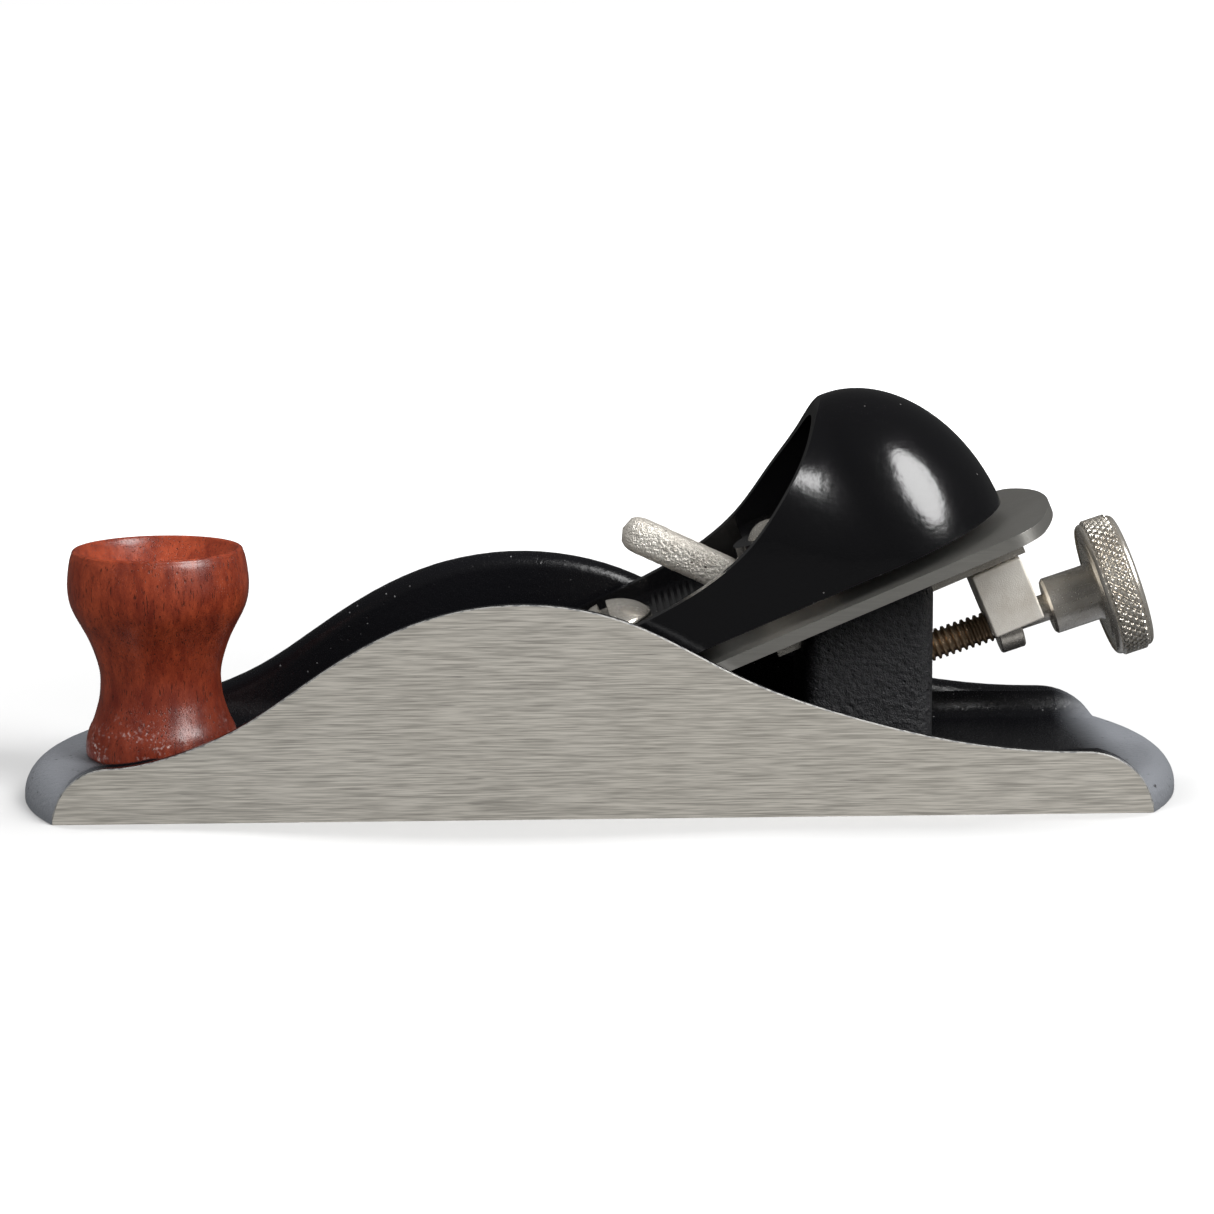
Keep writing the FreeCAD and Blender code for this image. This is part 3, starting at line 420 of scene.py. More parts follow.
class Effects:
    """Shader effects that several finishes share, each built once."""

    made: dict[str, bpy.types.NodeTree] = {}

    @classmethod
    def _new(
        cls, name: str, inputs: dict[str, float], outputs: Sequence[str]
    ) -> tuple[bpy.types.NodeTree, Graph, bpy.types.Node, bpy.types.Node]:
        """Empty group with a Vector input, named numbers in and named numbers out."""
        tree = bpy.data.node_groups.new(name, "ShaderNodeTree")
        tree.interface.new_socket("Vector", in_out="INPUT", socket_type="NodeSocketVector")
        for key, value in inputs.items():
            made = tree.interface.new_socket(key, in_out="INPUT", socket_type="NodeSocketFloat")
            made.default_value = value
        for key in outputs:
            tree.interface.new_socket(key, in_out="OUTPUT", socket_type="NodeSocketFloat")
        cls.made[name] = tree
        return tree, Graph(tree), tree.nodes.new("NodeGroupInput"), tree.nodes.new("NodeGroupOutput")

    @classmethod
    def grind(cls) -> bpy.types.NodeTree:
        """Fine parallel grinding lines along X, a few of them deeper."""
        if "grind_lines" in cls.made:
            return cls.made["grind_lines"]
        tree, graph, come, go = cls._new("grind_lines", {"Fineness": 5200.0}, ("Tone", "Height", "Scratch"))
        lines = graph.stretched(come.outputs["Vector"], (0.03, 1.0, 1.0))
        inputs = {"Vector": lines, "Scale": come.outputs["Fineness"], "Detail": 2.0}
        fine = graph.node("TexNoise", inputs).outputs[0]
        broad = graph.noise(graph.stretched(come.outputs["Vector"], (0.03, 1.0, 1.0)), 3000.0, 3.0, 0.7)
        patch = graph.noise(come.outputs["Vector"], 60.0, 3.0)
        tone = graph.math("ADD", graph.math("MULTIPLY", fine, 0.5), graph.math("MULTIPLY", broad, 0.5))
        cracks = graph.stretched(come.outputs["Vector"], (0.045, 1.0, 1.0))
        deep = graph.ramp(graph.noise(cracks, 2600.0, 1.0), 0.66, 0.74)
        deep = graph.math("MULTIPLY", deep, graph.ramp(patch, 0.42, 0.6))
        tree.links.new(tone, go.inputs["Tone"])
        tree.links.new(graph.math("SUBTRACT", tone, graph.math("MULTIPLY", deep, 0.5)), go.inputs["Height"])
        tree.links.new(deep, go.inputs["Scratch"])
        return tree

    @classmethod
    def cast_grain(cls) -> bpy.types.NodeTree:
        """Lumps, grit and pits of a sand casting."""
        if "cast_grain" in cls.made:
            return cls.made["cast_grain"]
        tree, graph, come, go = cls._new("cast_grain", {"Grain": 1400.0}, ("Height", "Pits", "Grit"))
        inputs = {"Vector": come.outputs[0], "Scale": come.outputs[1], "Detail": 4.0}
        lump = graph.node("TexNoise", inputs).outputs[0]
        grit = graph.noise(come.outputs[0], 5200.0, 2.0, 0.6)
        cells = graph.node("TexVoronoi", {"Vector": come.outputs[0], "Scale": 900.0, "Randomness": 1.0})
        gate = graph.ramp(graph.noise(come.outputs[0], 420.0, 2.0), 0.56, 0.66)
        pits = graph.math("MULTIPLY", graph.ramp(cells.outputs["Distance"], 0.26, 0.08), gate)
        height = graph.math("ADD", graph.math("MULTIPLY", lump, 0.7), graph.math("MULTIPLY", grit, 0.3))
        tree.links.new(graph.math("SUBTRACT", height, graph.math("MULTIPLY", pits, 0.6)), go.inputs["Height"])
        tree.links.new(pits, go.inputs["Pits"])
        tree.links.new(grit, go.inputs["Grit"])
        return tree

    @classmethod
    def dust(cls) -> bpy.types.NodeTree:
        """Scattered pale specks left on a painted surface."""
        if "dust_specks" in cls.made:
            return cls.made["dust_specks"]
        tree, graph, come, go = cls._new("dust_specks", {"Density": 0.5}, ("Specks",))
        cells = graph.node("TexVoronoi", {"Vector": come.outputs[0], "Scale": 700.0})
        near = graph.ramp(cells.outputs["Distance"], 0.13, 0.05)
        chance = graph.node("SeparateColor", {0: cells.outputs["Color"]}).outputs[0]
        kept = graph.math("LESS_THAN", chance, come.outputs["Density"])
        tree.links.new(graph.math("MULTIPLY", near, kept), go.inputs["Specks"])
        return tree


@dataclass(frozen=True)
class Finish:
    """Base of every finish: a named material on the object's own coordinates."""

    name: str
    slot: Slot

    def material(self) -> bpy.types.Material:
        """The material, built on first use."""
        made = bpy.data.materials.get(self.name)
        if made:
            return made
        made = bpy.data.materials.new(self.name)
        made.use_nodes = True
        made.node_tree.nodes.clear()
        graph = Graph(made.node_tree)
        shader = graph.node("BsdfPrincipled")
        graph.node("OutputMaterial", {"Surface": shader.outputs[0]})
        where = graph.node("TexCoord").outputs["Object"]
        self.paint(graph, shader, where)
        return made

    def paint(self, graph: Graph, shader: bpy.types.Node, where: bpy.types.NodeSocket) -> None:
        """Lay the finish's nodes and wire them to the shader."""
        raise NotImplementedError

    @staticmethod
    def feed(graph: Graph, shader: bpy.types.Node, **inputs: object) -> None:
        """Set or link shader inputs; underscores stand for spaces."""
        for key, value in inputs.items():
            socket = shader.inputs[key.replace("_", " ")]
            if isinstance(value, bpy.types.NodeSocket):
                graph.tree.links.new(value, socket)
            elif isinstance(value, tuple):
                socket.default_value = (*value, 1.0)
            else:
                socket.default_value = value


@dataclass(frozen=True)
class Enamel(Finish):
    """Gloss black enamel with a slight orange peel and a few specks."""

    colour: Colour = (0.003, 0.003, 0.0035)
    gloss: float = 0.17
    peel: float = 0.03

    def paint(self, graph: Graph, shader: bpy.types.Node, where: bpy.types.NodeSocket) -> None:
        """Lay the finish's nodes and wire them to the shader."""
        peel = graph.noise(where, 900.0, 2.0)
        haze = graph.noise(where, 160.0, 4.0, 0.6)
        specks = graph.group(Effects.dust(), Vector=where, Density=0.03).outputs["Specks"]
        colour = graph.blend(graph.math("MULTIPLY", specks, 0.35), self.colour, (0.35, 0.34, 0.33))
        hazy = graph.spread(haze, self.gloss - 0.04, self.gloss + 0.06)
        rough = graph.math("ADD", hazy, specks, clamp=True)
        self.feed(graph, shader, Base_Color=colour, Roughness=rough, Normal=graph.bump(peel, self.peel))
        self.feed(graph, shader, IOR=1.5, Coat_Weight=0.25, Coat_Roughness=0.1)


@dataclass(frozen=True)
class CastingFinish(Finish):
    """The body: ground cheeks and sole, black enamel inside, rough black on the post, and pale grey painted
    on the enamel of the toe and heel ends as a painted reflection.
    """

    ground: Colour = (0.50, 0.475, 0.43)
    paint_colour: Colour = (0.004, 0.004, 0.005)
    rough_colour: Colour = (0.003, 0.003, 0.004)
    # Painted reflection: pale grey that stands for the surroundings mirrored in the black enamel at the toe
    # and heel ends.
    end_sheen_colour: Colour = (0.21, 0.22, 0.24)
    end_start: float = 73.0
    half_width: float = 25.4
    post: tuple[float, float, float] = (30.2, 50.9, 12.3)

    def zones(self, graph: Graph, where: bpy.types.NodeSocket) -> tuple[bpy.types.NodeSocket, ...]:
        """Masks of the ground faces and of the post.

        Args:
            graph: Tree to work in.
            where: Object coordinates.

        Returns:
            Ground mask and post mask.
        """
        axes = graph.node("SeparateXYZ", {0: where})
        x, y, z = axes.outputs
        across = graph.math("ABSOLUTE", y)
        side = graph.math("GREATER_THAN", across, (self.half_width - 0.02) * MM)
        sole = graph.math("LESS_THAN", z, 0.02 * MM)
        front, rear, half = (v * MM for v in self.post)
        post = graph.math("MULTIPLY", graph.math("GREATER_THAN", x, front), graph.math("LESS_THAN", x, rear))
        post = graph.math("MULTIPLY", post, graph.math("LESS_THAN", across, half))
        post = graph.math("MULTIPLY", post, graph.ramp(z, 5.4 * MM, 6.4 * MM))
        return graph.math("MAXIMUM", side, sole), post

    def paint(self, graph: Graph, shader: bpy.types.Node, where: bpy.types.NodeSocket) -> None:
        """Lay the finish's nodes and wire them to the shader."""
        ground, post = self.zones(graph, where)
        lines = graph.group(Effects.grind(), Vector=where, Fineness=5200.0)
        grain = graph.group(Effects.cast_grain(), Vector=where, Grain=1100.0)
        specks = graph.group(Effects.dust(), Vector=where, Density=0.5).outputs["Specks"]

        dark, light = (tuple(c * k for c in self.ground) for k in (0.66, 1.40))
        metal = graph.blend(graph.ramp(lines.outputs["Tone"], 0.34, 0.64), dark, light)
        warm = graph.noise(where, 28.0, 3.0)
        metal = graph.blend(graph.spread(warm, 0.0, 0.22), metal, (0.44, 0.40, 0.31))
        metal = graph.blend(graph.math("MULTIPLY", lines.outputs["Scratch"], 0.55), metal, (0.16, 0.15, 0.14))
        black = graph.blend(graph.math("MULTIPLY", specks, 0.5), self.paint_colour, (0.3, 0.3, 0.3))
        matte = graph.blend(grain.outputs["Grit"], self.rough_colour, (0.012, 0.012, 0.014))
        # Painted reflection: from end_start outwards along X, the black enamel of the toe and heel is
        # coloured pale grey in place of the surroundings it mirrors. Grit varies the grey, and pits stay near
        # black.
        length = graph.math("ABSOLUTE", graph.node("SeparateXYZ", {0: where}).outputs[0])
        end = graph.ramp(length, self.end_start * MM, (self.end_start + 9.0) * MM)
        pale = graph.blend(grain.outputs["Grit"], tuple(c * 0.6 for c in self.end_sheen_colour), self.end_sheen_colour)
        pale = graph.blend(grain.outputs["Pits"], pale, (0.01, 0.01, 0.011))
        black = graph.blend(end, black, pale)
        colour = graph.blend(ground, graph.blend(post, black, matte), metal)

        gloss = graph.spread(grain.outputs["Grit"], 0.16, 0.34)
        gloss = graph.node("Mix", {0: end, 2: gloss, 3: 0.55}).outputs[0]
        rough = graph.node("Mix", {0: post, 2: gloss, 3: 0.5}).outputs[0]
        rough = graph.node("Mix", {0: ground, 2: rough, 3: 0.42}).outputs[0]
        bumpy = graph.node("Mix", {0: post, 2: graph.spread(end, 0.45, 1.5), 3: 4.0}).outputs[0]
        lump = graph.math("MULTIPLY", grain.outputs["Height"], bumpy)
        lump = graph.math("MULTIPLY", lump, graph.math("SUBTRACT", 1.0, ground))
        cut = graph.math("MULTIPLY", graph.math("MULTIPLY", lines.outputs["Height"], ground), 0.10)
        normal = graph.bump(graph.math("ADD", lump, cut), 0.22)
        metallic = graph.math("MULTIPLY", ground, 0.45)
        self.feed(graph, shader, Base_Color=colour, Metallic=metallic)
        self.feed(graph, shader, Roughness=rough, Normal=normal, IOR=1.5)


@dataclass(frozen=True)
class BrightEdge(Finish):
    """Freshly ground burr where a machined face meets the paint."""

    colour: Colour = (0.28, 0.275, 0.26)

    def paint(self, graph: Graph, shader: bpy.types.Node, where: bpy.types.NodeSocket) -> None:
        """Lay the finish's nodes and wire them to the shader."""
        chip = graph.noise(where, 1100.0, 3.0)
        colour = graph.blend(graph.ramp(chip, 0.46, 0.62), self.colour, (0.12, 0.12, 0.12))
        normal = graph.bump(chip, 0.03)
        self.feed(graph, shader, Base_Color=colour, Metallic=0.3, Roughness=0.45, Normal=normal)


@dataclass(frozen=True)
class Metal(Finish):
    """Bare or plated metal, from polished to sand-cast."""

    colour: Colour = (0.80, 0.76, 0.69)
    shade: Colour = (0.50, 0.43, 0.35)
    rough: float = 0.24
    metallic: float = 0.85
    grain: float = 3000.0
    depth: float = 0.02
    pitting: float = 0.0

    def paint(self, graph: Graph, shader: bpy.types.Node, where: bpy.types.NodeSocket) -> None:
        """Lay the finish's nodes and wire them to the shader."""
        cloud = graph.noise(where, 240.0, 4.0, 0.6)
        grit = graph.noise(where, self.grain, 3.0, 0.6)
        colour = graph.blend(graph.spread(graph.ramp(cloud, 0.35, 0.75), 0.0, 0.45), self.colour, self.shade)
        cast = graph.group(Effects.cast_grain(), Vector=where, Grain=self.grain * 0.4)
        pits = graph.math("MULTIPLY", cast.outputs["Pits"], self.pitting)
        colour = graph.blend(pits, colour, tuple(c * 0.25 for c in self.shade))
        rough = graph.math("ADD", graph.spread(grit, self.rough - 0.06, self.rough + 0.08), pits, clamp=True)
        height = graph.math("SUBTRACT", grit, pits)
        self.feed(graph, shader, Base_Color=colour, Roughness=rough, Normal=graph.bump(height, self.depth))
        self.feed(graph, shader, Metallic=self.metallic)


@dataclass(frozen=True)
class BladeSteel(Finish):
    """Ground tool steel: grinding lines across grey steel with faint oil stains."""

    colour: Colour = (0.46, 0.45, 0.42)

    def paint(self, graph: Graph, shader: bpy.types.Node, where: bpy.types.NodeSocket) -> None:
        """Lay the finish's nodes and wire them to the shader."""
        lines = graph.group(Effects.grind(), Vector=where, Fineness=4200.0)
        stain = graph.ramp(graph.noise(where, 60.0, 2.0), 0.4, 0.8)
        dark, light = (tuple(c * k for c in self.colour) for k in (0.72, 1.2))
        colour = graph.blend(lines.outputs["Tone"], dark, light)
        colour = graph.blend(graph.math("MULTIPLY", stain, 0.15), colour, (0.24, 0.21, 0.18))
        rough = graph.spread(stain, 0.30, 0.40)
        normal = graph.bump(lines.outputs["Height"], 0.012)
        self.feed(graph, shader, Base_Color=colour, Metallic=0.85, Roughness=rough, Normal=normal)


@dataclass(frozen=True)
class Rosewood(Finish):
    """Varnished reddish hardwood with upright grain, open pores, painted shade over its lower part and waist,
    and scuffs round its foot.
    """

    light: Colour = (0.30, 0.050, 0.018)
    dark: Colour = (0.12, 0.015, 0.007)
    foot: float = 5.2
    waist: float = 17.4

    def paint(self, graph: Graph, shader: bpy.types.Node, where: bpy.types.NodeSocket) -> None:
        """Lay the finish's nodes and wire them to the shader."""
        height = graph.node("SeparateXYZ", {0: where}).outputs[2]
        wander = graph.noise(graph.stretched(where, (1.0, 1.0, 0.25)), 90.0, 2.0)
        moved = graph.node("VectorMath", {0: where, 1: wander}, operation="ADD").outputs[0]
        bands = graph.noise(graph.stretched(where, (1.0, 0.55, 0.35)), 420.0, 5.0, 0.7)
        streak = graph.noise(graph.stretched(moved, (1.0, 1.0, 0.12)), 1900.0, 3.0, 0.6)
        pores = graph.ramp(graph.noise(graph.stretched(where, (1.0, 1.0, 0.15)), 4200.0, 2.0), 0.58, 0.70)
        tone = graph.math("ADD", graph.math("MULTIPLY", bands, 0.65), graph.math("MULTIPLY", streak, 0.35))
        colour = graph.blend(graph.ramp(tone, 0.36, 0.66), self.dark, self.light)
        # Painted shade: the knob is darkened in full below 0.8 of the waist height, under the bulging top,
        # and the darkening fades out by 1.45 of the waist height.
        low = graph.ramp(height, self.waist * 1.45 * MM, self.waist * 0.8 * MM)
        colour = graph.blend(graph.math("MULTIPLY", low, 0.45), colour, (0.075, 0.010, 0.006))
        colour = graph.blend(graph.math("MULTIPLY", pores, 0.75), colour, (0.025, 0.006, 0.004))
        near_foot = graph.ramp(height, (self.foot + 9.0) * MM, (self.foot + 2.0) * MM)
        patchy = graph.ramp(graph.noise(where, 210.0, 4.0, 0.7), 0.50, 0.64)
        specky = graph.ramp(graph.noise(where, 1700.0, 3.0, 0.6), 0.5, 0.66)
        scuff = graph.math("MULTIPLY", graph.math("MULTIPLY", near_foot, patchy), specky)
        colour = graph.blend(graph.math("MULTIPLY", scuff, 0.6), colour, (0.62, 0.52, 0.50))
        scuffed = graph.math("MULTIPLY", scuff, 0.4)
        rough = graph.math("ADD", graph.spread(bands, 0.26, 0.40), scuffed, clamp=True)
        relief = graph.math("SUBTRACT", graph.math("MULTIPLY", streak, 0.3), pores)
        self.feed(graph, shader, Base_Color=colour, Roughness=rough, Normal=graph.bump(relief, 0.03))
        self.feed(graph, shader, IOR=1.5, Coat_Weight=0.2, Coat_Roughness=0.16)


@dataclass(frozen=True)
class Matt(Finish):
    """Plain floor that is bright to look at, ever brighter outwards, and dim in reflections."""

    seen: Colour = (0.54, 0.54, 0.54)
    mirrored: Colour = (0.04, 0.04, 0.039)
    lift_from: float = 0.10
    lift_to: float = 0.40

    def paint(self, graph: Graph, shader: bpy.types.Node, where: bpy.types.NodeSocket) -> None:
        """Lay the finish's nodes and wire them to the shader."""
        direct = graph.node("LightPath").outputs["Is Camera Ray"]
        colour = graph.blend(direct, self.mirrored, self.seen)
        self.feed(graph, shader, Base_Color=colour, Roughness=0.9, Specular_IOR_Level=0.0)
        reach = graph.node("VectorMath", {0: where}, operation="LENGTH").outputs["Value"]
        lift = graph.math("MULTIPLY", direct, graph.ramp(reach, self.lift_from, self.lift_to))
        self.feed(graph, shader, Emission_Color=(1.0, 1.0, 1.0), Emission_Strength=lift)


ENAMEL = Enamel("black_enamel", Slot.ENAMEL)
CASTING = CastingFinish("cast_body", Slot.CASTING)
BURR = BrightEdge("ground_burr", Slot.CASTING)
STEEL = BladeSteel("blade_steel", Slot.STEEL)
NICKEL = Metal("satin_nickel", Slot.NICKEL)
BLASTED = Metal("blasted_nickel", Slot.NICKEL, rough=0.45, metallic=0.5, grain=5200.0, depth=0.05)
SAND_CAST = Metal(
    "sand_cast_nickel", Slot.NICKEL, rough=0.38, metallic=0.6, grain=1900.0, depth=0.5, pitting=0.9
)
THREAD = Metal("oiled_thread", Slot.NICKEL, (0.40, 0.29, 0.19), (0.14, 0.09, 0.055), 0.32)
WOOD = Rosewood("rosewood", Slot.WOOD)
FLOOR = Matt("floor", Slot.CASTING)


def dress(
    piece: bpy.types.Object,
    finish: Finish,
    body: Body,
    nodes: Sequence[str] = (),
    extra: Sequence[Finish] = (),
) -> None:
    """Give a piece its finish and its body, and hide the CAD nodes it stands for.

    Args:
        piece: Finished object.
        finish: Its main finish.
        body: The moving body it belongs to.
        nodes: CAD nodes that it replaces.
        extra: Further finishes for its other material slots.
    """
    slots = [face.material_index for face in piece.data.polygons]
    piece.data.materials.clear()
    for each in (finish, *extra):
        piece.data.materials.append(each.material())
    piece.data.polygons.foreach_set("material_index", slots)
    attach(piece, body.value)
    if nodes:
        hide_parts(*nodes)
    log.info("%s: %d faces, on %s", piece.name, len(piece.data.polygons), body.value)


# ---------------------------------------------------------------- the plane's own pieces


@dataclass
class Casting:
    """Body casting: a bright burr along the top of each ground cheek."""

    half_width: float = 25.4
    burr: float = 0.18
    sole_edge: float = 1.0

    def build(self) -> None:
        """Make the casting and its burr, and dress it."""
        body = cad_copy("plane_body", "body_casting")
        self.ease_crests(body)
        dress(body, CASTING, Body.BODY, ("plane_body",), (BURR,))

    def ease_crests(self, body: bpy.types.Object) -> None:
        """Chamfer the outer top edge of both cheeks.

        Args:
            body: The casting.
        """
        mesh = body.data
        bm = bmesh.new()
        bm.from_mesh(mesh)
        weight = bm.edges.layers.float.new("bevel_weight_edge")
        for edge in bm.edges:
            outer = all(abs(abs(v.co.y) - self.half_width * MM) < 1e-5 for v in edge.verts)
            high = all(v.co.z > self.sole_edge * MM for v in edge.verts)
            if outer and high and not edge.smooth:
                edge[weight] = 1.0
        bm.to_mesh(mesh)
        bm.free()
        step = body.modifiers.new("burr", "BEVEL")
        step.width = self.burr * MM
        step.segments = 1
        step.limit_method = "WEIGHT"
        step.use_clamp_overlap = False
        step.material = 1
        body.data.materials.append(CASTING.material())
        body.data.materials.append(BURR.material())
        apply_modifiers(body)
        tidy_mesh(body)


@dataclass
class Knob:
    """Turned front knob and the screw down its middle."""

    x: float = -67.9
    seat: float = 5.2
    rim_height: float = 37.4
    rim_round: float = 0.55
    dish_depth: float = 7.2
    screw_recess: float = 4.7

    def build(self) -> None:
        """Make the knob and its screw, and dress them."""
        axis = Matrix.Translation(Vector((self.x, 0.0, 0.0)) * MM)
        knob = lathe("front_knob_turned", self.profile(), axis, 128)
        dress(knob, WOOD, Body.BODY, ("front_knob",))
        screw = cad_copy("knob_screw", "knob_screw_slotted")
        soften(screw, 0.15)
        dress(screw, NICKEL, Body.BODY, ("knob_screw",))

    def profile(self) -> list[tuple[float, float]]:
        """Radius and height pairs from the foot, over the rim, down into the dish."""
        outside = [(11.3, self.seat), (11.72, 5.7), (11.75, 6.6), (11.62, 7.9), (11.2, 9.5), (10.49, 11.0)]
        outside += [(9.87, 12.9), (9.42, 14.8), (9.25, 17.4), (9.46, 19.2), (10.07, 21.4), (10.91, 23.6)]
        outside += [(11.98, 25.7), (12.89, 27.4), (13.61, 29.3), (13.9, 31.6), (13.74, 34.0)]
        outside += [(13.4, 36.0), (13.1, self.rim_height - self.rim_round)]
        rim = arc((13.1 - self.rim_round, self.rim_height - self.rim_round), self.rim_round, 20, 140, 5)
        dish = []
        start, bottom = 12.0, self.rim_height - self.dish_depth
        for step in range(15):
            share = 1.0 - step / 14
            radius = self.screw_recess + (start - self.screw_recess) * share
            fall = 1.0 - (radius / start) ** 2.6
            dish.append((radius, self.rim_height - 0.55 - (self.dish_depth - 0.55) * fall))
        well = [(self.screw_recess, bottom - 0.4), (self.screw_recess, bottom - 3.4), (0.4, bottom - 3.4)]
        return [(0.4, self.seat)] + smooth_curve(outside, 4) + rim + dish + well


@dataclass
class Iron:
    """The blade with a crisp ground edge."""

    edge: float = 0.12

    def build(self) -> None:
        """Make the iron and dress it."""
        iron = cad_copy("plane_iron", "iron_blade")
        soften(iron, self.edge, segments=1)
        dress(iron, STEEL, Body.IRON, ("plane_iron",))


@dataclass
class Cap:
    """Lever cap, its keeper screw, and the cam that clamps it."""

    rim: float = 0.7
    screw_x: float = 40.0
    screw_radius: float = 6.6
    screw_seat: float = 9.45
    screw_edge: float = 0.5
    screw_dome: float = 3.7
    slot_width: float = 1.5
    slot_depth: float = 1.9
    shank_radius: float = 3.0
    shank_depth: float = 11.0
    cam_x: float = 68.0
    cam_radius: float = 6.5
    cam_low: float = 2.0
    cam_high: float = 11.7
    arm_foot: tuple[float, float] = (62.6, 6.6)
    arm_tip: tuple[float, float] = (49.7, 20.9)
    arm_radius: float = 2.95
    rivet_head: float = 3.3
    rivet_seat: float = 13.4
    rivet_rise: float = 1.9
    rivet_shank: float = 2.0

    def build(self) -> None:
        """Make the four pieces and dress them."""
        cap = cad_copy("lever_cap", "lever_cap_hood")
        soften(cap, self.rim, 50.0, 3)
        dress(cap, ENAMEL, Body.CAP, ("lever_cap",))
        dress(self.screw(), NICKEL, Body.CAP_SCREW, ("lever_cap_screw",))
        dress(self.lever(), SAND_CAST, Body.CAM, ("cam_lever",))
        dress(self.rivet(), NICKEL, Body.CAP, ("cam_rivet",))

    def screw(self) -> bpy.types.Object:
        """Domed keeper screw with its driver slot."""
        rise, radius = self.screw_dome, self.screw_radius
        ball = (radius**2 + rise**2) / (2 * rise)
        start = self.screw_seat + self.screw_edge
        half = math.degrees(math.asin(radius / ball))
        dome = arc((0.0, start + rise - ball), ball, 90 - half, 89.0, 16)
        profile = [(0.3, -self.shank_depth), (self.shank_radius - 0.4, -self.shank_depth)]
        profile += [(self.shank_radius, 0.4 - self.shank_depth), (self.shank_radius, self.screw_seat)]
        profile += [(radius - 0.2, self.screw_seat), (radius, self.screw_seat + 0.2), *dome]
        place = BED @ Matrix.Translation(Vector((self.screw_x, 0.0, 0.0)) * MM)
        screw = lathe("keeper_screw", profile, place, 96)
        top = start + rise
        low = (-self.slot_width / 2, -2 * radius, top - self.slot_depth)
        high = (self.slot_width / 2, 2 * radius, top + 2.0)
        boolean(screw, box_mesh("slot_tool", low, high, place))
        soften(screw, 0.12)
        return screw

    def lever(self) -> bpy.types.Object:
        """Cast cam lever: round hub and a blunt squared arm."""
        place = BED @ Matrix.Translation(Vector((self.cam_x, 0.0, 0.0)) * MM)
        hole = self.rivet_shank + 0.06
        hub_profile = [(hole, self.cam_low), (self.cam_radius - 0.5, self.cam_low)]
        hub_profile += [(self.cam_radius, self.cam_low + 0.5), (self.cam_radius, self.cam_high - 0.6)]
        hub_profile += [(self.cam_radius - 0.6, self.cam_high), (hole, self.cam_high)]
        hub = lathe("cam_hub", hub_profile, place, 64)
        boolean(hub, self.arm(), "UNION")
        hub.name = "cam_lever_cast"
        return hub

    def arm(self) -> bpy.types.Object:
        """The arm on its own, rough from the sand."""
        foot, tip = (Vector((x, 0.0, z)) for x, z in (self.arm_foot, self.arm_tip))
        along = (tip - foot).normalized()
        up = along.cross(Vector((0.0, 1.0, 0.0))).normalized()
        length = (tip - foot).length
        stations = 34
        sides = 40
        rings = []
        for number in range(stations + 1):
            travel = -0.5 * self.arm_radius + (length + 1.5 * self.arm_radius) * number / stations
            over = max(0.0, travel - length + 0.2) / (self.arm_radius + 0.2)
            width = self.arm_radius * math.sqrt(max(0.0, 1.0 - min(1.0, over) ** 2.6))
            ring = []
            for side in range(sides):
                angle = FULL_TURN * side / sides
                c, s = math.cos(angle), math.sin(angle)
                reach = (abs(c) ** 3.0 + abs(s) ** 3.0) ** (-1 / 3.0) * 0.93
                offset = Vector((0.0, 1.0, 0.0)) * c * reach + up * s * reach
                ring.append(BED @ ((foot + along * travel + offset * max(width, 0.15)) * MM))
            rings.append(ring)
        arm = ring_mesh("cam_arm", rings)
        roughen(arm, 0.16, 0.9, 3.0)
        return arm

    def rivet(self) -> bpy.types.Object:
        """Dome-headed rivet through the shelf and the cam."""
        head, seat = self.rivet_head, self.rivet_seat + 0.2
        ball = (head**2 + self.rivet_rise**2) / (2 * self.rivet_rise)
        half = math.degrees(math.asin(head / ball))
        dome = arc((0.0, seat + self.rivet_rise - ball), ball, 90 - half, 89.0, 10)
        profile = [(0.3, 2.3), (self.rivet_shank, 2.3), (self.rivet_shank, seat), (head - 0.15, seat), *dome]
        place = BED @ Matrix.Translation(Vector((self.cam_x, 0.0, 0.0)) * MM)
        return lathe("cam_rivet_headed", profile, place, 64)


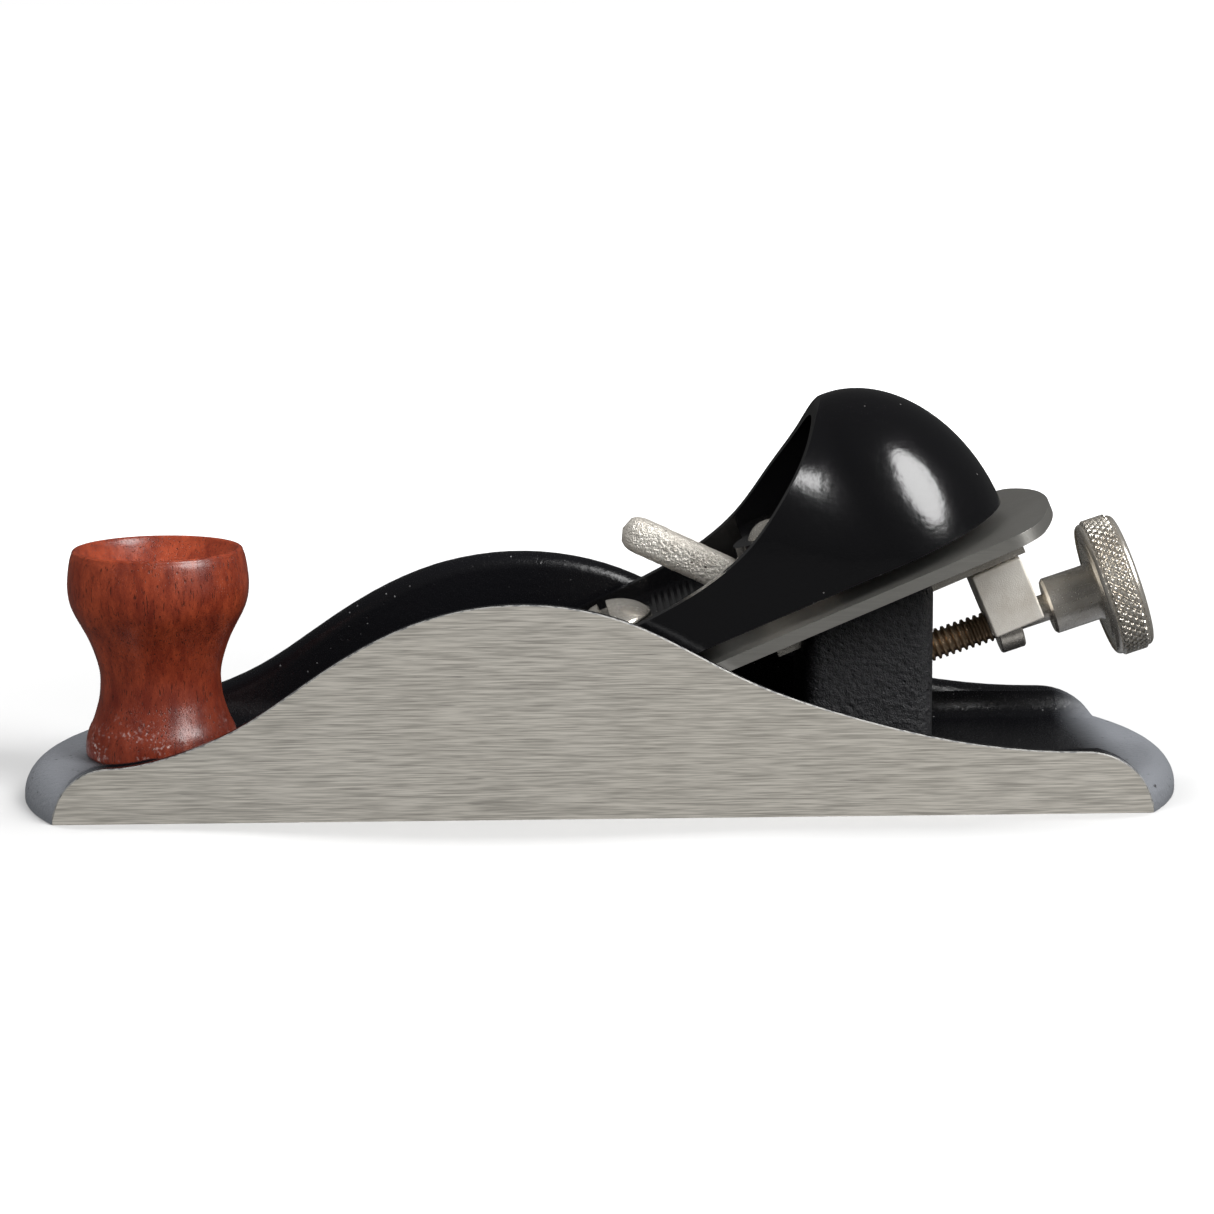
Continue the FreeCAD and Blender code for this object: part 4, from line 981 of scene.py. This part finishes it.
@dataclass
class Adjuster:
    """Slide bar, block, threaded spindle and knurled wheel."""

    pitch: float = 1.058
    thread_radius: float = 2.4
    thread_depth: float = 0.5
    thread_start: float = 38.2
    collar_start: float = 64.2
    collar_end: float = 68.1
    collar_radius: float = 4.65
    neck_radius: float = 2.1
    hub_start: float = 73.1
    hub_end: float = 80.9
    hub_radius: float = 4.45
    wheel_end: float = 86.9
    wheel_radius: float = 10.9
    wheel_round: float = 0.9
    knurl_count: int = 48
    knurl_depth: float = 0.48

    def build(self) -> None:
        """Make the adjuster's pieces and dress them."""
        bar = cad_copy("adjuster_bar", "slide_bar_toothed")
        soften(bar, 0.25)
        dress(bar, NICKEL, Body.BAR, ("adjuster_bar",))
        block = cad_copy("adjuster_block", "screw_block_blasted")
        soften(block, 0.12)
        dress(block, BLASTED, Body.BLOCK, ("adjuster_block",))
        dress(self.spindle(), NICKEL, Body.SPINDLE, ("adjuster_screw",))
        dress(self.thread(), THREAD, Body.SPINDLE)
        dress(self.hub(), NICKEL, Body.SPINDLE, ("adjuster_knob",))
        dress(self.wheel(), NICKEL, Body.SPINDLE)

    def spindle(self) -> bpy.types.Object:
        """Neck and collar behind the thread."""
        collar, neck, ease = self.collar_radius, self.neck_radius, 0.25
        start, end = self.collar_start, self.collar_end
        profile = [(0.2, start - 0.8), (neck, start - 0.8), (neck, start), (collar - ease, start)]
        profile += [(collar, start + ease), (collar, end - ease), (collar - ease, end), (neck, end)]
        profile += [(neck, self.hub_start + 0.5), (0.2, self.hub_start + 0.5)]
        return lathe("spindle_collar", profile, SCREW @ ALONG_X, 72)

    def thread(self) -> bpy.types.Object:
        """Screw thread cut as one rising groove."""
        around, per_turn = 40, 12
        length = self.collar_start - self.thread_start
        rows = int(length / self.pitch * per_turn)
        place = SCREW @ ALONG_X
        rings = []
        for row in range(rows + 1):
            along = self.thread_start + length * row / rows
            run_out = min(1.0, (row + 2) / per_turn)
            ring = []
            for step in range(around):
                angle = FULL_TURN * step / around
                phase = (along / self.pitch - step / around) % 1.0
                tooth = min(1.0, max(0.0, 2.6 * abs(2 * phase - 1.0) - 0.8))
                radius = self.thread_radius - self.thread_depth * (1.0 - tooth) - 0.35 * (1.0 - run_out)
                local = Vector((radius * math.cos(angle), radius * math.sin(angle), along))
                ring.append(place @ (local * MM))
            rings.append(ring)
        return ring_mesh("spindle_thread", rings)

    def hub(self) -> bpy.types.Object:
        """Round hub between the block and the wheel."""
        radius, start, end, bore = self.hub_radius, self.hub_start, self.hub_end, self.neck_radius
        profile = [(bore, start), (radius - 0.4, start), (radius, start + 0.4), (radius, end - 0.6)]
        profile += [(radius + 0.5, end + 0.3), (bore, end + 0.3)]
        return lathe("wheel_hub", profile, SCREW @ ALONG_X, 72)

    def wheel(self) -> bpy.types.Object:
        """Wheel with a diamond knurl round its rim."""
        place = SCREW @ ALONG_X
        around, rows = self.knurl_count * 8, 40
        start, end, ease = self.hub_end, self.wheel_end, self.wheel_round
        band_low, band_high = start + ease, end - ease
        spacing = FULL_TURN * self.wheel_radius / self.knurl_count
        profile = [(0.4, start), (7.6, start), (7.9, start + 0.25), (self.wheel_radius - ease, start + 0.25)]
        profile += arc((self.wheel_radius - ease - 0.35, start + ease), ease, -80, -10, 4)
        breadth = band_high - band_low
        band = [(self.wheel_radius, band_low + breadth * row / rows) for row in range(rows + 1)]
        far = arc((self.wheel_radius - ease - 0.35, end - ease), ease, 10, 80, 4)
        far += [(self.wheel_radius - 2.2, end), (7.6, end - 0.3), (0.4, end - 0.3)]
        rings = []
        for number, (radius, along) in enumerate(profile + band + far):
            knurled = len(profile) <= number < len(profile) + len(band)
            edge = min(1.0, max(0.0, min(along - band_low, band_high - along) / 0.35))
            ring = []
            for step in range(around):
                angle = FULL_TURN * step / around
                reach = radius
                if knurled:
                    turn = step / around * self.knurl_count
                    left = abs(2 * ((turn + along / spacing) % 1.0) - 1.0)
                    right = abs(2 * ((turn - along / spacing) % 1.0) - 1.0)
                    groove = max(0.0, 1.0 - 2.2 * min(left, right))
                    reach -= self.knurl_depth * max(groove, 1.0 - edge)
                ring.append(place @ (Vector((reach * math.cos(angle), reach * math.sin(angle), along)) * MM))
            rings.append(ring)
        return ring_mesh("knurled_wheel", rings)


# ---------------------------------------------------------------- studio


@dataclass(frozen=True)
class Softbox:
    """A studio light with a soft outline.

    Attributes:
        name: Name of the light.
        place: Where it hangs, in metres.
        aim: What it points at, in metres.
        width: Width in metres.
        height: Height in metres.
        power: Strength in watts.
        shape: Outline of the light, RECTANGLE or ELLIPSE.
        mirrored: Whether shiny faces show the light itself.
    """

    name: str
    place: Point
    aim: Point
    width: float
    height: float
    power: float
    shape: str = "RECTANGLE"
    mirrored: bool = True

    def hang(self) -> None:
        """Add the light to the scene."""
        lamp = bpy.data.lights.new(self.name, "AREA")
        lamp.shape = self.shape
        lamp.size = self.width
        lamp.size_y = self.height
        lamp.energy = self.power
        made = link(bpy.data.objects.new(self.name, lamp))
        made.location = self.place
        made.visible_glossy = self.mirrored
        made.rotation_euler = (Vector(self.aim) - Vector(self.place)).to_track_quat("-Z", "Y").to_euler()


@dataclass
class Studio:
    """Floor, lights, world and camera."""

    floor_size: float = 60.0
    floor_drop: float = 0.00001
    softboxes: tuple[Softbox, ...] = (
        Softbox("key", (0.484, -0.391, 0.524), (0.045, -0.016, 0.048), 0.44, 0.62, 8.5, "ELLIPSE"),
        Softbox("back", (0.0, 0.45, 1.1), (0.0, 0.0, 0.02), 0.9, 0.25, 9.0, mirrored=False),
        Softbox("fill", (-0.70, -0.65, 0.35), (-0.05, 0.0, 0.02), 0.35, 0.5, 4.5, mirrored=False),
    )
    camera_place: Point = (-0.0132627, -0.5301723, 0.1214951)
    yaw: float = 1.55141
    pitch: float = 10.05077
    roll: float = -0.29145
    lens: float = 103.394
    world_seen: float = 1.0
    world_lit: float = 0.55

    def build(self) -> None:
        """Set up everything round the plane."""
        bpy.context.scene.view_settings.view_transform = "Standard"
        for softbox in self.softboxes:
            softbox.hang()
        self.lay_floor()
        self.light_world()
        self.aim_camera()

    def lay_floor(self) -> None:
        """Plain pale floor just under the sole."""
        half = self.floor_size / 2
        plan = ((-half, -half), (half, -half), (half, half), (-half, half))
        corners = [Vector((x, y, -self.floor_drop)) for x, y in plan]
        floor = mesh_from("floor", corners, [(0, 1, 2, 3)])
        floor.data.materials.append(FLOOR.material())

    def light_world(self) -> None:
        """Pale surroundings that stay dim in reflections."""
        world = bpy.data.worlds.new("studio")
        bpy.context.scene.world = world
        world.use_nodes = True
        world.node_tree.nodes.clear()
        graph = Graph(world.node_tree)
        path = graph.node("LightPath")
        seen = graph.math("MULTIPLY", path.outputs["Is Camera Ray"], self.world_seen - self.world_lit)
        level = graph.math("ADD", seen, self.world_lit)
        dim = graph.math("MULTIPLY", path.outputs["Is Glossy Ray"], 0.90 * self.world_lit)
        strength = graph.math("SUBTRACT", level, dim)
        shade = graph.node("Background", {"Color": (1.0, 1.0, 1.0, 1.0), "Strength": strength})
        graph.node("OutputWorld", {"Surface": shade.outputs[0]})

    def aim_camera(self) -> None:
        """Camera in front of the near cheek, a little above it."""
        yaw, pitch, roll = (math.radians(v) for v in (self.yaw, self.pitch, self.roll))
        ahead = Vector((math.sin(yaw) * math.cos(pitch), math.cos(yaw) * math.cos(pitch), -math.sin(pitch)))
        level = Vector((math.cos(yaw), -math.sin(yaw), 0.0))
        above = level.cross(ahead)
        right = math.cos(roll) * level + math.sin(roll) * above
        up = -math.sin(roll) * level + math.cos(roll) * above
        lens = bpy.data.cameras.new("camera")
        lens.sensor_width = 36.0
        lens.lens = self.lens
        lens.clip_start = 0.01
        lens.clip_end = 100.0
        camera = link(bpy.data.objects.new("camera", lens))
        turn = Matrix((right, up, -ahead)).transposed().to_4x4()
        camera.matrix_world = Matrix.Translation(Vector(self.camera_place)) @ turn
        bpy.context.scene.camera = camera


def main() -> None:
    """Build every piece of the plane, then the studio."""
    for assembly in (Casting(), Knob(), Iron(), Cap(), Adjuster(), Studio()):
        assembly.build()
        log.info("built %s", type(assembly).__name__)
    bpy.context.view_layer.update()


if __name__ == "__main__":
    main()
